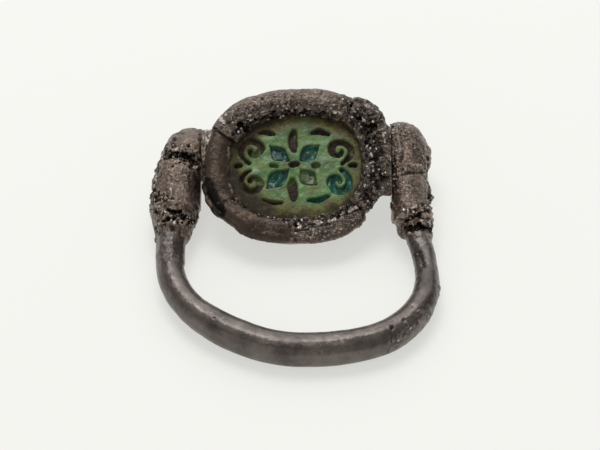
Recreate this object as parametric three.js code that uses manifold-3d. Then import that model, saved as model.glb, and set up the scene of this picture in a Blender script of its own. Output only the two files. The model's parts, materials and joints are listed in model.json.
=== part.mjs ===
// An ancient swivel ring: a silver hoop with wrapped shoulders, and an oval seal setting that turns
// on a wire between them. Millimetres, +Z up, +X to the right, +Y from the hoop's base to the seal.
// The ring lies as it rests on a table, and the origin is the bottom centre of its box.
import * as THREE from "three";
import { mergeVertices } from "three/addons/utils/BufferGeometryUtils.js";
import Module from "manifold-3d";

const wasm = await Module();
wasm.setup();

// Scarab: its seal face, its bore and its back, with heights over the pivot axis
const stoneHalfLength = 6.5;
const stoneHalfWidth = 5.35;
const stoneFaceHeight = 2.0;
const stoneBackDepth = 2.45;
const stonePlinth = 0.8;
const stoneEdgeRound = 0.06;
const stoneBoreClearance = 0.2;
const grooveDepth = 0.3;
const grooveWidth = 0.45;
const sealCutDepth = 0.4;

// Setting: the wall round the stone, and the rolled rim that laps over the stone's edge
const stoneFit = 0.06;
const endWall = 1.9;
const sideWall = 2.2;
const bandLean = 0.95;
const bandInset = 0.15;
const bandBottom = -0.35;
const earDrop = 1.35;
const rimWidth = 2.5;
const rimHeight = 1.15;
const rimSeatGap = 0.04;
const rimJointGap = 0.12;
const collarDrop = 0.1;
const collarReach = 0.14;
const collarSeatGap = 0.04;
const pitRadius = 0.42;
const pitDepth = 0.6;
const bezelTurnDegrees = 24;
const bezelOffset = 1.3;

// Pivot: its height over the table, the wire, and the clearances round it
const pivotHeight = 3.7;
const wireRadius = 0.45;
const wireGrip = 1.55;
const wireFit = 0.03;
const swivelClearance = 0.06;
const swivelEndGap = 0.1;

// Hoop: how far its arms' centrelines lie past the shoulders' inner faces, the base's distance from
// the pivot axis, and the bar's radii
const armSetback = 2.76;
const hoopReach = 21.55;
const hoopBaseRadius = 1.5;
const leftArmRadius = 1.26;
const rightArmRadius = 1.05;
const hoopTipClearance = 0.75;
const wearDepth = 0.08;

// Shoulders: their radii, how far from the pivot axis the knuckles end, and the lengths of sheathing
// that follow them
const leftKnuckleRadius = 2.3;
const rightKnuckleRadius = 2.5;
const leftShoulderRadius = 2.28;
const rightShoulderRadius = 1.95;
const leftKnuckleReach = 1.25;
const leftUpperLength = 4.45;
const leftLowerLength = 3.8;
const rightKnuckleReach = 2.5;
const rightUpperLength = 4.8;
const rightLowerLength = 1.9;
const rightShoulderHeightShare = 1.13;
const sheathClearance = 0.06;
const sheathJointGap = 0.06;

// What follows from the sizes above
const bezelHalfLength = stoneHalfLength + endWall;
const bezelHalfWidth = stoneHalfWidth + sideWall;
const collarRadius = stoneFaceHeight - collarDrop;
const collarEnd = bezelHalfLength + collarReach;
const knuckleFace = collarEnd + swivelEndGap;
const wireHalfLength = knuckleFace + wireGrip;
const hoopHalfSpan = knuckleFace + armSetback;
const leftUpperReach = leftKnuckleReach + leftUpperLength;
const leftLowerReach = leftUpperReach + leftLowerLength;
const rightUpperReach = rightKnuckleReach + rightUpperLength;
const rightLowerReach = rightUpperReach + rightLowerLength;

// How far the solids that cut others reach past their surfaces
const cutOverrun = 0.5;

// Counts of sides and steps, and the largest turn from one step of the rim to the next
const hoopSides = 14;
const hoopSteps = 66;
const shoulderSides = 18;
const sheathSteps = 4;
const domeSteps = 5;
const wireSides = 14;
const ovalSides = 60;
const wallSteps = 4;
const rollPoints = 8;
const stoneRings = 13;
const collarSides = 24;
const pitSides = 7;
const strokeSteps = 4;
const coilSteps = 14;
const rimStep = THREE.MathUtils.degToRad(8);

const mix = (a, b, t) => a + (b - a) * t;

// A soft step from 0 to 1
function ease(t) {
  const c = Math.min(1, Math.max(0, t));
  return c * c * (3 - 2 * c);
}

// Reads a value from a list of [place, value] pairs, joined by soft steps
function along(table, place) {
  for (let i = 1; i < table.length; i++) {
    const [low, lowValue] = table[i - 1];
    const [high, highValue] = table[i];
    if (place <= high) return mix(lowValue, highValue, ease((place - low) / (high - low)));
  }
  return table[table.length - 1][1];
}

// Makes a geometry from points and triangles
function geometryOf(points, triangles) {
  const geometry = new THREE.BufferGeometry();
  geometry.setAttribute("position", new THREE.Float32BufferAttribute(points.flat(), 3));
  geometry.setIndex(triangles.flat());
  return geometry;
}

// Closes one end of a skin with a fan of triangles round the ring's middle
function capRing(points, triangles, ring, start, isFirst) {
  const sides = ring.length;
  points.push([0, 1, 2].map((axis) => ring.reduce((sum, p) => sum + p[axis] / sides, 0)));
  const hub = points.length - 1;
  for (let s = 0; s < sides; s++) {
    const next = (s + 1) % sides;
    triangles.push(isFirst ? [hub, start + next, start + s] : [hub, start + s, start + next]);
  }
}

// Joins rings of points into one closed surface, capped at both ends or joined end to end
function skin(rings, isLoop = false) {
  const sides = rings[0].length;
  const points = rings.flat();
  const triangles = [];
  const spans = isLoop ? rings.length : rings.length - 1;
  for (let r = 0; r < spans; r++) {
    const low = r * sides;
    const high = ((r + 1) % rings.length) * sides;
    for (let s = 0; s < sides; s++) {
      const next = (s + 1) % sides;
      triangles.push([low + s, low + next, high + next], [low + s, high + next, high + s]);
    }
  }
  if (!isLoop) {
    capRing(points, triangles, rings[0], 0, true);
    capRing(points, triangles, rings[rings.length - 1], (rings.length - 1) * sides, false);
  }
  return geometryOf(points, triangles);
}

// Makes a manifold solid of a closed geometry
function solidOf(geometry) {
  const bare = geometry.clone();
  bare.deleteAttribute("normal");
  bare.deleteAttribute("uv");
  const merged = mergeVertices(bare);
  return new wasm.Manifold(
    new wasm.Mesh({
      numProp: 3,
      vertProperties: merged.attributes.position.array,
      triVerts: new Uint32Array(merged.index.array),
    }),
  );
}

// Makes a geometry of a manifold solid again
function geometryFrom(solid) {
  const { vertProperties, triVerts } = solid.getMesh();
  const geometry = new THREE.BufferGeometry();
  geometry.setAttribute("position", new THREE.BufferAttribute(vertProperties, 3));
  geometry.setIndex(new THREE.BufferAttribute(triVerts, 1));
  return geometry;
}

// A cylinder along X whose ends lie at two places on the X axis
function barAlongX(radius, from, to, sides) {
  const cylinder = new THREE.CylinderGeometry(radius, radius, to - from, sides);
  return cylinder.rotateZ(Math.PI / 2).translate((from + to) / 2, 0, 0);
}

// A box larger than the ring, with one face square to an axis at a given place
const roomy = 3 * hoopReach;
function boxPast(axis, edge, side) {
  const middle = [0, 0, 0];
  middle[axis] = edge + (side * roomy) / 2;
  return solidOf(new THREE.BoxGeometry(roomy, roomy, roomy).translate(...middle));
}
const underTable = boxPast(2, 0, -1);

// The hoop lies on its base and on its two shoulders, each worn a little flat. Its centreline runs
// straight between those resting heights, and its ends lift to the pivot's height.
const baseRest = hoopBaseRadius - wearDepth;
const leftRest = leftShoulderRadius - wearDepth;
const rightRest = rightShoulderRadius * rightShoulderHeightShare - wearDepth;
const restReachShare = 0.27;
function restingHeight(reach, shoulderRest) {
  const t = (reach / hoopReach - restReachShare) / (1 - restReachShare);
  return mix(shoulderRest, baseRest, Math.min(1, Math.max(0, t)));
}

// Each shoulder's centreline from its far end: how far it has spread from the knuckle to the hoop's
// half span, its distance from the pivot axis as a share of the sheathing's reach, and its lift
// from the resting height to the pivot's
const leftShoulderShares = [
  [0, -0.11, 1],
  [0.46, 0.113, 0.8],
  [0.71, 0.375, 0.17],
  [0.78, 0.61, 0],
  [0.86, 0.8, 0],
  [0.95, 0.968, 0],
];
const rightShoulderShares = [
  [0.76, 0.96, 0],
  [0.42, 0.7, 0],
  [0.32, 0.47, 0.13],
  [0.2, 0.14, 0.69],
  [0, -0.2, 1],
];

// The open part of the hoop from the left arm round to the right one, as shares of its half span
// and its reach
const bowShares = [
  [-0.985, 0.53],
  [-0.945, 0.65],
  [-0.815, 0.772],
  [-0.62, 0.87],
  [-0.41, 0.939],
  [-0.2, 0.983],
  [0.01, 1],
  [0.22, 0.998],
  [0.435, 0.978],
  [0.665, 0.935],
  [0.86, 0.848],
  [0.98, 0.732],
  [1.01, 0.623],
  [0.995, 0.513],
];

// Turns a shoulder's shares into points, with its knuckle against the end of the setting
const knuckleSeatShare = 0.4;
function shoulderPoints(side, shares, knuckleRadius, reachOfSheath, rest) {
  const knuckleSpan = knuckleFace + knuckleSeatShare * knuckleRadius;
  return shares.map(([spread, reachShare, lift]) => {
    const reach = reachShare * reachOfSheath;
    const height = mix(restingHeight(reach, rest), pivotHeight, lift);
    return new THREE.Vector3(side * mix(knuckleSpan, hoopHalfSpan, spread), -reach, height);
  });
}
const centreline = new THREE.CatmullRomCurve3(
  [
    ...shoulderPoints(-1, leftShoulderShares, leftKnuckleRadius, leftLowerReach, leftRest),
    ...bowShares.map(([x, y]) => {
      const reach = y * hoopReach;
      const height = restingHeight(reach, x < 0 ? leftRest : rightRest);
      return new THREE.Vector3(x * hoopHalfSpan, -reach, height);
    }),
    ...shoulderPoints(1, rightShoulderShares, rightKnuckleRadius, rightLowerReach, rightRest),
  ],
  false,
  "centripetal",
);
centreline.arcLengthDivisions = 400;
const centrelineLength = centreline.getLength();

// The share of the centreline at which an arm is a given distance from the pivot axis
function shareAt(isLeft, reach) {
  let [far, near] = isLeft ? [0, 0.4] : [1, 0.6];
  for (let i = 0; i < 40; i++) {
    const middle = (far + near) / 2;
    if (-centreline.getPointAt(middle).y < reach) far = middle;
    else near = middle;
  }
  return near;
}

// A ring of points round the centreline, pushed along it where the surface is domed
function ringAt(share, radius, sides, heightShare = 1, push = 0) {
  const forward = centreline.getTangentAt(share);
  const side = new THREE.Vector3(0, 0, 1).cross(forward).normalize();
  const up = forward.clone().cross(side);
  const middle = centreline.getPointAt(share).addScaledVector(forward, push);
  return Array.from({ length: sides }, (_, s) => {
    const angle = (2 * Math.PI * s) / sides;
    return middle
      .clone()
      .addScaledVector(side, Math.cos(angle) * radius)
      .addScaledVector(up, Math.sin(angle) * radius * heightShare)
      .toArray();
  });
}

// The bar's radius along the centreline, thickest at the base
const barRadiusTable = [
  [0, leftArmRadius],
  [0.24, leftArmRadius],
  [0.44, hoopBaseRadius],
  [0.6, hoopBaseRadius],
  [0.78, rightArmRadius],
];
const barRadius = (share) => along(barRadiusTable, share);

// A many-sided hole round the bar, clear of it across its flats
function holeRing(share) {
  const flats = barRadius(share) + sheathClearance;
  return ringAt(share, flats / Math.cos(Math.PI / shoulderSides), shoulderSides);
}

// The bar of the hoop, whose two ends stop short of the wire inside the knuckles
const leftTip = shareAt(true, hoopTipClearance);
const rightTip = shareAt(false, hoopTipClearance);
function makeHoop() {
  const rings = [];
  for (let i = 0; i <= hoopSteps; i++) {
    const share = mix(leftTip, rightTip, i / hoopSteps);
    rings.push(ringAt(share, barRadius(share), hoopSides));
  }
  return geometryFrom(solidOf(skin(rings)).subtract(underTable));
}

// The places where each shoulder's lengths of sheathing end
const gapShare = sheathJointGap / centrelineLength;
const leftEnds = [leftKnuckleReach, leftUpperReach, leftLowerReach].map((r) => shareAt(true, r));
const rightEnds = [rightKnuckleReach, rightUpperReach, rightLowerReach].map((r) => shareAt(false, r));

// Each shoulder's outer radii along the centreline
const leftOutside = [
  [0, leftKnuckleRadius],
  [leftEnds[0], leftShoulderRadius * 0.97],
  [mix(leftEnds[0], leftEnds[1], 0.5), leftShoulderRadius],
  [leftEnds[1], leftShoulderRadius],
  [mix(leftEnds[1], leftEnds[2], 0.32), leftShoulderRadius * 0.86],
  [mix(leftEnds[1], leftEnds[2], 0.7), leftShoulderRadius * 0.69],
  [leftEnds[2], leftArmRadius * 1.1],
];
const rightOutside = [
  [rightEnds[2], rightArmRadius * 1.2],
  [rightEnds[1] - gapShare, rightShoulderRadius * 0.84],
  [rightEnds[1], rightShoulderRadius * 0.98],
  [mix(rightEnds[0], rightEnds[1], 0.5), rightShoulderRadius],
  [rightEnds[0], rightShoulderRadius * 0.97],
  [1, rightKnuckleRadius],
];

// Trims what would reach into the turning setting's way, or under the table
function trimmed(geometry, isLeft) {
  const side = isLeft ? -1 : 1;
  return solidOf(geometry).subtract(boxPast(0, side * knuckleFace, -side)).subtract(underTable);
}

// One length of sheathing: a tube from one share of the centreline to the next
function makeSheath(isLeft, low, high, heightShare = 1) {
  const table = isLeft ? leftOutside : rightOutside;
  const shares = Array.from({ length: sheathSteps + 1 }, (_, i) => mix(low, high, i / sheathSteps));
  const outer = shares.map((s) => ringAt(s, along(table, s), shoulderSides, heightShare));
  const inner = shares.map(holeRing).reverse();
  return geometryFrom(trimmed(skin([...outer, ...inner], true), isLeft));
}

// The rounded far end of a shoulder, bored for the bar's tip and for the wire
function makeKnuckle(isLeft, radius, jointShare, heightShare = 1) {
  const end = isLeft ? 0 : 1;
  const away = isLeft ? -1 : 1;
  const table = isLeft ? leftOutside : rightOutside;
  const outer = [];
  for (let i = 0; i < domeSteps; i++) {
    const angle = (Math.PI / 2) * ((i + 0.35) / domeSteps);
    outer.push(ringAt(end, radius * Math.sin(angle), shoulderSides, 1, away * radius * Math.cos(angle)));
  }
  for (let i = 0; i <= sheathSteps; i++) {
    const share = mix(end, jointShare, i / sheathSteps);
    const tall = mix(1, heightShare, i / sheathSteps);
    outer.push(ringAt(share, along(table, share), shoulderSides, tall));
  }
  const tip = (isLeft ? leftTip : rightTip) + away * gapShare;
  const hole = [];
  for (let i = 0; i <= sheathSteps; i++) {
    hole.push(holeRing(mix(tip, jointShare - away * gapShare, i / sheathSteps)));
  }
  if (!isLeft) {
    outer.reverse();
    hole.reverse();
  }
  const boreEnd = wireHalfLength + wireFit;
  const bore = barAlongX(wireRadius + wireFit, -boreEnd, boreEnd, wireSides).translate(0, 0, pivotHeight);
  const solid = trimmed(skin(outer), isLeft);
  return geometryFrom(solid.subtract(solidOf(skin(hole))).subtract(solidOf(bore)));
}

// A point of an oval round the stone's middle, in the setting's own frame. The hand-raised oval is
// fuller in some quarters than in others.
const quarterExponents = [2.5, 2.1, 2.6, 2.3];
function ovalPoint(angle, halfLength, halfWidth, height) {
  const turn = (angle / (2 * Math.PI) + 1) % 1;
  const power = 2 / quarterExponents[Math.min(3, Math.floor(turn * 4))];
  const x = Math.sign(Math.cos(angle)) * Math.abs(Math.cos(angle)) ** power;
  const y = Math.sign(Math.sin(angle)) * Math.abs(Math.sin(angle)) ** power;
  return [x * halfLength, y * halfWidth - bezelOffset, height];
}

// A closed loop of such points, with its half sizes and height given for each angle
function ovalLoop(pointAt) {
  return Array.from({ length: ovalSides }, (_, s) => {
    const angle = (2 * Math.PI * s) / ovalSides;
    return ovalPoint(angle, ...pointAt(angle));
  });
}

// The stone's outline at a height, as a share of the outline of its face
const stoneShoulder = stoneFaceHeight - stonePlinth;
const backExponent = 2.4;
function stoneHalves(height, spare = 0) {
  const depth = Math.max(0, (stoneShoulder - height) / (stoneShoulder + stoneBackDepth));
  const share = (1 - Math.min(1, depth) ** backExponent) ** (1 / backExponent);
  return [stoneHalfLength * share + spare, stoneHalfWidth * share + spare];
}

// The beetle's main lines: one groove behind the head, one behind the forepart, one down the wings
const headLineShare = -0.62;
const wingLineShare = -0.22;
function grooveAt(x, y) {
  const dip = (distance) => Math.max(0, 1 - Math.abs(distance) / grooveWidth);
  const head = dip(x - headLineShare * stoneHalfLength);
  const wings = dip(x - wingLineShare * stoneHalfLength);
  const middle = x > wingLineShare * stoneHalfLength ? dip(y + bezelOffset) : 0;
  return grooveDepth * Math.max(head, wings, middle);
}

// The strokes cut into the seal, as shares of the face's half length and half width: a route, and the
// cut's half breadth at its ends and in its middle as shares of the half width. Four petals stand
// round a dot, with dots and bowed strokes beyond them.
const sealStrokeShares = [
  { route: [[0.05, 0.09], [0.308, 0.354]], ends: 0.02, middle: 0.138 },
  { route: [[-0.126, 0.092], [-0.363, 0.343]], ends: 0.02, middle: 0.127 },
  { route: [[-0.124, -0.094], [-0.393, -0.388]], ends: 0.02, middle: 0.153 },
  { route: [[0.047, -0.094], [0.27, -0.338]], ends: 0.02, middle: 0.123 },
  { route: [[-0.06, -0.004], [-0.024, 0.012]], ends: 0.056, middle: 0.056 },
  { route: [[-0.046, 0.28], [-0.054, 0.43], [-0.038, 0.617]], ends: 0.037, middle: 0.071 },
  { route: [[-0.031, -0.262], [-0.038, -0.43], [-0.031, -0.598]], ends: 0.037, middle: 0.082 },
  { route: [[-0.308, 0.561], [-0.415, 0.607], [-0.508, 0.589]], ends: 0.022, middle: 0.045 },
  { route: [[0.2, 0.598], [0.323, 0.636], [0.446, 0.589]], ends: 0.022, middle: 0.049 },
  { route: [[-0.446, -0.598], [-0.323, -0.664], [-0.2, -0.673]], ends: 0.022, middle: 0.045 },
  { route: [[0.185, -0.654], [0.308, -0.654], [0.431, -0.579]], ends: 0.026, middle: 0.049 },
  { route: [[-0.835, -0.004], [-0.788, 0.012]], ends: 0.041, middle: 0.045 },
  { route: [[0.777, 0.006], [0.823, -0.012]], ends: 0.041, middle: 0.045 },
  { route: [[-0.342, 0.004], [-0.292, -0.012]], ends: 0.037, middle: 0.041 },
  { route: [[0.238, -0.004], [0.285, 0.012]], ends: 0.037, middle: 0.041 },
];

// The coils cut beside them: their middles, their radii as shares of the half width, their number of
// turns, the angle at which each ends, and which way it winds
const sealCoilShares = [
  { middle: [-0.6, 0.271], radius: 0.234, turns: 1.15, end: 250, hand: 1, ends: 0.036, across: 0.056 },
  { middle: [-0.592, -0.299], radius: 0.224, turns: 1.15, end: 110, hand: -1, ends: 0.036, across: 0.052 },
  { middle: [0.592, 0.271], radius: 0.234, turns: 1.15, end: 290, hand: -1, ends: 0.036, across: 0.056 },
  { middle: [0.577, -0.299], radius: 0.243, turns: 1.15, end: 70, hand: 1, ends: 0.041, across: 0.067 },
];
const coilEyeShare = 0.2;

// A place on the seal face from its shares
function sealPoint([x, y]) {
  return new THREE.Vector2(x * stoneHalfLength, y * stoneHalfWidth - bezelOffset);
}

// The route of a coil, from its eye outwards
function coilRoute({ middle, radius, turns, end, hand }) {
  const hub = sealPoint(middle);
  return Array.from({ length: coilSteps + 1 }, (_, i) => {
    const t = i / coilSteps;
    const reach = mix(coilEyeShare, 1, t) * radius * stoneHalfWidth;
    const angle = THREE.MathUtils.degToRad(end) + hand * 2 * Math.PI * turns * (t - 1);
    return new THREE.Vector2(Math.cos(angle), Math.sin(angle)).multiplyScalar(reach).add(hub);
  });
}

// A cut down into the seal face along a route, widest at its middle
function sealCut(route, endShare, middleShare) {
  const sides = [[], []];
  route.forEach((point, i) => {
    const before = route[Math.max(0, i - 1)];
    const after = route[Math.min(route.length - 1, i + 1)];
    const forward = after.clone().sub(before).normalize();
    const across = new THREE.Vector2(-forward.y, forward.x);
    const bow = Math.sin((Math.PI * i) / (route.length - 1));
    const half = mix(endShare, middleShare, bow) * stoneHalfWidth;
    sides[0].push(point.clone().addScaledVector(across, half));
    sides[1].unshift(point.clone().addScaledVector(across, -half));
  });
  const outline = new THREE.Shape(sides.flat());
  const depth = sealCutDepth + cutOverrun;
  const cut = new THREE.ExtrudeGeometry(outline, { depth, bevelEnabled: false });
  return solidOf(cut.translate(0, 0, stoneFaceHeight - sealCutDepth));
}

// Cuts the whole seal into the stone
function withSeal(stone) {
  let cut = stone;
  for (const { route, ends, middle } of sealStrokeShares) {
    const smooth = new THREE.SplineCurve(route.map(sealPoint)).getPoints(strokeSteps);
    cut = cut.subtract(sealCut(smooth, ends, middle));
  }
  for (const coil of sealCoilShares) cut = cut.subtract(sealCut(coilRoute(coil), coil.ends, coil.across));
  return cut;
}

// The glazed stone beetle, seal face up
function makeScarab() {
  const rings = [];
  for (let i = 1; i <= stoneRings; i++) {
    const angle = (Math.PI / 2) * (i / stoneRings);
    const height = stoneShoulder - (stoneShoulder + stoneBackDepth) * Math.max(0, Math.cos(angle)) ** 0.9;
    const softly = ease((stoneShoulder - height) / stonePlinth);
    const loop = ovalLoop(() => [...stoneHalves(height), height]);
    rings.push(loop.map(([x, y, z]) => [x, y, z + softly * grooveAt(x, y)]));
  }
  rings.push(ovalLoop(() => [...stoneHalves(stoneFaceHeight), stoneFaceHeight - stoneEdgeRound]));
  for (const inset of [stoneEdgeRound, stoneHalfWidth / 2]) {
    rings.push(ovalLoop(() => [...stoneHalves(stoneFaceHeight, -inset), stoneFaceHeight]));
  }
  const bore = barAlongX(wireRadius + stoneBoreClearance, -collarEnd, collarEnd, wireSides);
  return geometryFrom(withSeal(solidOf(skin(rings)).subtract(solidOf(bore))));
}

// The wall's outline at a height, leaning in towards the beetle's back
function bandHalves(height, spare = 0) {
  const lean = bandInset + (bandLean * (stoneFaceHeight - height)) / (stoneFaceHeight - bandBottom);
  return [bezelHalfLength - lean + spare, bezelHalfWidth - lean + spare];
}

// The bore that turns on the wire, through the collars and the wall's ears
const swivelBore = solidOf(barAlongX(wireRadius + swivelClearance, -knuckleFace, knuckleFace, wireSides));

// The wall of the setting: it hugs the stone, and an ear at each end carries the wire
function makeBand() {
  const rings = [];
  const heightAt = (angle, share) => {
    const foot = bandBottom - earDrop * Math.abs(Math.cos(angle)) ** 8;
    return mix(foot, stoneFaceHeight, share);
  };
  for (let i = 0; i <= wallSteps; i++) {
    const share = i / wallSteps;
    rings.push(ovalLoop((angle) => [...bandHalves(heightAt(angle, share)), heightAt(angle, share)]));
  }
  for (let i = wallSteps; i >= 0; i--) {
    const share = i / wallSteps;
    rings.push(
      ovalLoop((angle) => {
        const height = heightAt(angle, share);
        return [...stoneHalves(Math.max(height, bandBottom), stoneFit), height];
      }),
    );
  }
  return geometryFrom(solidOf(skin(rings, true)).subtract(swivelBore));
}

// A short oval tube on the wire, wider towards the far side, saddled against the wall's end
const collarWidthShare = 1.3;
const collarShiftShare = 0.25;
function makeCollar(side) {
  const ends = side < 0 ? [-collarEnd, 0] : [0, collarEnd];
  const tube = barAlongX(collarRadius, ...ends, collarSides)
    .scale(1, collarWidthShare, 1)
    .translate(0, collarShiftShare * collarRadius, 0);
  const saddle = skin(
    [-2 * collarRadius, 2 * collarRadius].map((height) =>
      ovalLoop(() => [...bandHalves(height, collarSeatGap), height]),
    ),
  );
  return geometryFrom(solidOf(tube).subtract(swivelBore).subtract(solidOf(saddle)));
}

// Where the corrosion of the rim's right-hand length has swollen it, in degrees round the oval: how
// far outwards as shares of the rim's width, and how high as shares of its height
const evenShares = [[0, 0]];
const rightSwellShares = [
  [-38, 0.02],
  [4, 0.02],
  [20, 0.1],
  [31, 0.25],
  [49, 0.25],
  [55, 0.12],
];
const rightLumpShares = [
  [-38, 0],
  [-30, -0.16],
  [-22, 0.12],
  [-14, -0.12],
  [-6, 0.14],
  [2, -0.14],
  [10, 0.08],
  [17, -0.1],
  [25, 0.04],
  [33, 0.2],
  [42, 0.1],
  [49, 0.2],
  [55, -0.15],
];

// One length of the rolled rim, from one angle round the oval to the next
function makeRim({ from, to, heightShare, widthShare, insetShare, swell = evenShares, lumps = evenShares }) {
  const trim = rimJointGap / 2 / bezelHalfLength;
  const [low, high] = [from, to].map((degrees) => THREE.MathUtils.degToRad(degrees));
  const steps = Math.ceil((high - low) / rimStep);
  const seat = stoneFaceHeight + rimSeatGap;
  const rings = [];
  for (let i = 0; i <= steps; i++) {
    const angle = mix(low + trim, high - trim, i / steps);
    const degrees = mix(from, to, i / steps);
    rings.push(
      Array.from({ length: rollPoints }, (_, k) => {
        const turn = Math.PI * (1 - k / (rollPoints - 1));
        const across = insetShare + (widthShare * (1 - Math.cos(turn))) / 2;
        const outward = (along(swell, degrees) * (1 + Math.cos(turn))) / 2;
        const inset = (across - outward) * rimWidth;
        const tallest = heightShare * rimHeight * (1 + along(lumps, degrees));
        const height = seat + tallest * Math.max(0, Math.sin(turn)) ** 0.7;
        return ovalPoint(angle, bezelHalfLength - inset, bezelHalfWidth - inset, height);
      }),
    );
  }
  return skin(rings);
}

// The rim's right-hand length, with a deep pit that corrosion left in it
const pitPlaceShares = [0.827, 0.45];
function makeRightRim(shape) {
  const [x, y] = pitPlaceShares;
  const deep = pitDepth + cutOverrun;
  const top = stoneFaceHeight + rimSeatGap + shape.heightShare * rimHeight;
  const pit = new THREE.CylinderGeometry(pitRadius, pitRadius, deep, pitSides)
    .rotateX(Math.PI / 2)
    .translate(x * bezelHalfLength, y * bezelHalfWidth - bezelOffset, top - pitDepth + deep / 2);
  return geometryFrom(solidOf(makeRim(shape)).subtract(solidOf(pit)));
}

// The rim's lengths, in degrees round the oval from the right-hand end towards the far side
const rimTable = {
  rim_right: {
    from: -38,
    to: 55,
    heightShare: 0.9,
    widthShare: 1.02,
    insetShare: 0,
    swell: rightSwellShares,
    lumps: rightLumpShares,
  },
  rim_far: { from: 55, to: 155, heightShare: 1, widthShare: 1.12, insetShare: 0 },
  rim_left: { from: 155, to: 210, heightShare: 0.62, widthShare: 0.88, insetShare: 0.03 },
  rim_lower_left: { from: 210, to: 268, heightShare: 0.7, widthShare: 0.9, insetShare: 0.03 },
  rim_lower_right: { from: 268, to: 322, heightShare: 0.55, widthShare: 0.92, insetShare: 0.02 },
};

const finish = (color, roughness, metalness) =>
  new THREE.MeshStandardMaterial({ color, roughness, metalness });
const silver = finish(0x5c5450, 0.5, 0.8);
const crust = finish(0x4a423e, 0.75, 0.5);
const glaze = finish(0x6f9a70, 0.35, 0);

const ring = new THREE.Group();
const upright = new THREE.Group();
const setting = new THREE.Group();
setting.position.z = pivotHeight;
setting.rotation.x = THREE.MathUtils.degToRad(bezelTurnDegrees);
upright.add(setting);
ring.add(upright);

function add(group, name, geometry, material) {
  const mesh = new THREE.Mesh(geometry, material);
  mesh.name = name;
  group.add(mesh);
}

// The parts that stay still: the hoop, its two shoulders and the wire between them
const [leftJoint, leftLow, leftFoot] = leftEnds;
const [rightJoint, rightLow, rightFoot] = rightEnds;
const tall = rightShoulderHeightShare;
const wire = barAlongX(wireRadius, -wireHalfLength, wireHalfLength, wireSides);
add(upright, "hoop", makeHoop(), silver);
add(upright, "left_knuckle", makeKnuckle(true, leftKnuckleRadius, leftJoint - gapShare), crust);
add(upright, "left_upper_wrap", makeSheath(true, leftJoint, leftLow - gapShare), silver);
add(upright, "left_lower_wrap", makeSheath(true, leftLow, leftFoot), crust);
add(upright, "right_knuckle", makeKnuckle(false, rightKnuckleRadius, rightJoint + gapShare, tall), crust);
add(upright, "right_upper_wrap", makeSheath(false, rightLow, rightJoint, tall), silver);
add(upright, "right_lower_wrap", makeSheath(false, rightFoot, rightLow - gapShare), crust);
add(upright, "pivot_wire", wire.translate(0, 0, pivotHeight), silver);

// The parts that turn on the wire
add(setting, "scarab", makeScarab(), glaze);
add(setting, "bezel_band", makeBand(), silver);
add(setting, "left_collar", makeCollar(-1), silver);
add(setting, "right_collar", makeCollar(1), crust);
for (const [name, shape] of Object.entries(rimTable)) {
  add(setting, name, name === "rim_right" ? makeRightRim(shape) : makeRim(shape), silver);
}

// Puts the origin under the middle of the ring's box, on the table
upright.updateMatrixWorld(true);
const box = new THREE.Box3().setFromObject(upright, true);
const middle = box.getCenter(new THREE.Vector3());
upright.position.set(-middle.x, -middle.y, -box.min.z);

export default ring;
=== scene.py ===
import json
import math

import bpy
import numpy as np
from mathutils import Matrix, Vector


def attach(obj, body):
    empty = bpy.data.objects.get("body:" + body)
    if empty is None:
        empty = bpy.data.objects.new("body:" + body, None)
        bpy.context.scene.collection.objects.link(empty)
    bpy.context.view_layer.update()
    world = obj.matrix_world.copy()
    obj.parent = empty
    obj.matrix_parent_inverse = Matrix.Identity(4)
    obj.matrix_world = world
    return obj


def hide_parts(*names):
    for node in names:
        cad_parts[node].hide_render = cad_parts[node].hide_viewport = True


bl_info = {
    "name": "Scarab Swivel Ring",
    "version": (1, 0, 0),
    "blender": (4, 5, 0),
    "location": "View3D > Sidebar > Ring",
    "description": "Dresses the frame of an ancient swivel ring in corroded silver and glazed stone",
    "category": "Object",
}

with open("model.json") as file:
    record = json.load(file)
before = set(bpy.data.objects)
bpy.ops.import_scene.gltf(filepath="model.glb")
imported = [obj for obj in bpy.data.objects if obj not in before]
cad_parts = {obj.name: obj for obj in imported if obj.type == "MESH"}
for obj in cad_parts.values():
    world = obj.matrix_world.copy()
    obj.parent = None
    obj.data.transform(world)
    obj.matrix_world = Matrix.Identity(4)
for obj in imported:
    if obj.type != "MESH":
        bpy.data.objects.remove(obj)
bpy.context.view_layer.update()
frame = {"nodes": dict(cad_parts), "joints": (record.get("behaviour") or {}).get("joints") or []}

# One millimetre in the frame's metres. Pieces are shaped on a bench in millimetres.
MM = 0.001

# The photograph's size in pixels, and its camera, in millimetres
PHOTO_WIDTH = 600
PHOTO_HEIGHT = 450
LENS = 165.0
SENSOR = 36.0
FOCAL = LENS / SENSOR * PHOTO_WIDTH
VIEW_CENTRE = np.array([0.678, 4.517, 0.0])
VIEW_ELEVATION = math.radians(44)
VIEW_DISTANCE = 250.0
BACKWARD = np.array([0.0, -math.cos(VIEW_ELEVATION), math.sin(VIEW_ELEVATION)])
RIGHTWARD = np.array([1.0, 0.0, 0.0])
UPWARD = np.array([0.0, math.sin(VIEW_ELEVATION), math.cos(VIEW_ELEVATION)])
EYE = VIEW_CENTRE + BACKWARD * VIEW_DISTANCE

# The swivel: the wire's middle and the setting's turn. Along the wire, how near that middle the shoulders
# may come and how far from it the setting may go. Round the wire, the radius that the setting sweeps and
# the one that it leaves free.
PIVOT = np.array(frame["joints"][0]["pos_m"]) / MM
BEZEL_TURN = math.radians(24)
SHOULDER_FACE = 8.61
SETTING_END = 8.57
SWEPT_RADIUS = 5.3
BORE_RADIUS = 0.51

# The stone's face in the setting's own frame, and the way it looks in the ring's
STONE_MIDDLE = np.array([0.0, -1.3])
STONE_HALVES = np.array([6.5, 5.35])
STONE_FACE = 2.0
SEAL_WAY = (0.0, -math.sin(BEZEL_TURN), math.cos(BEZEL_TURN))

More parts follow.
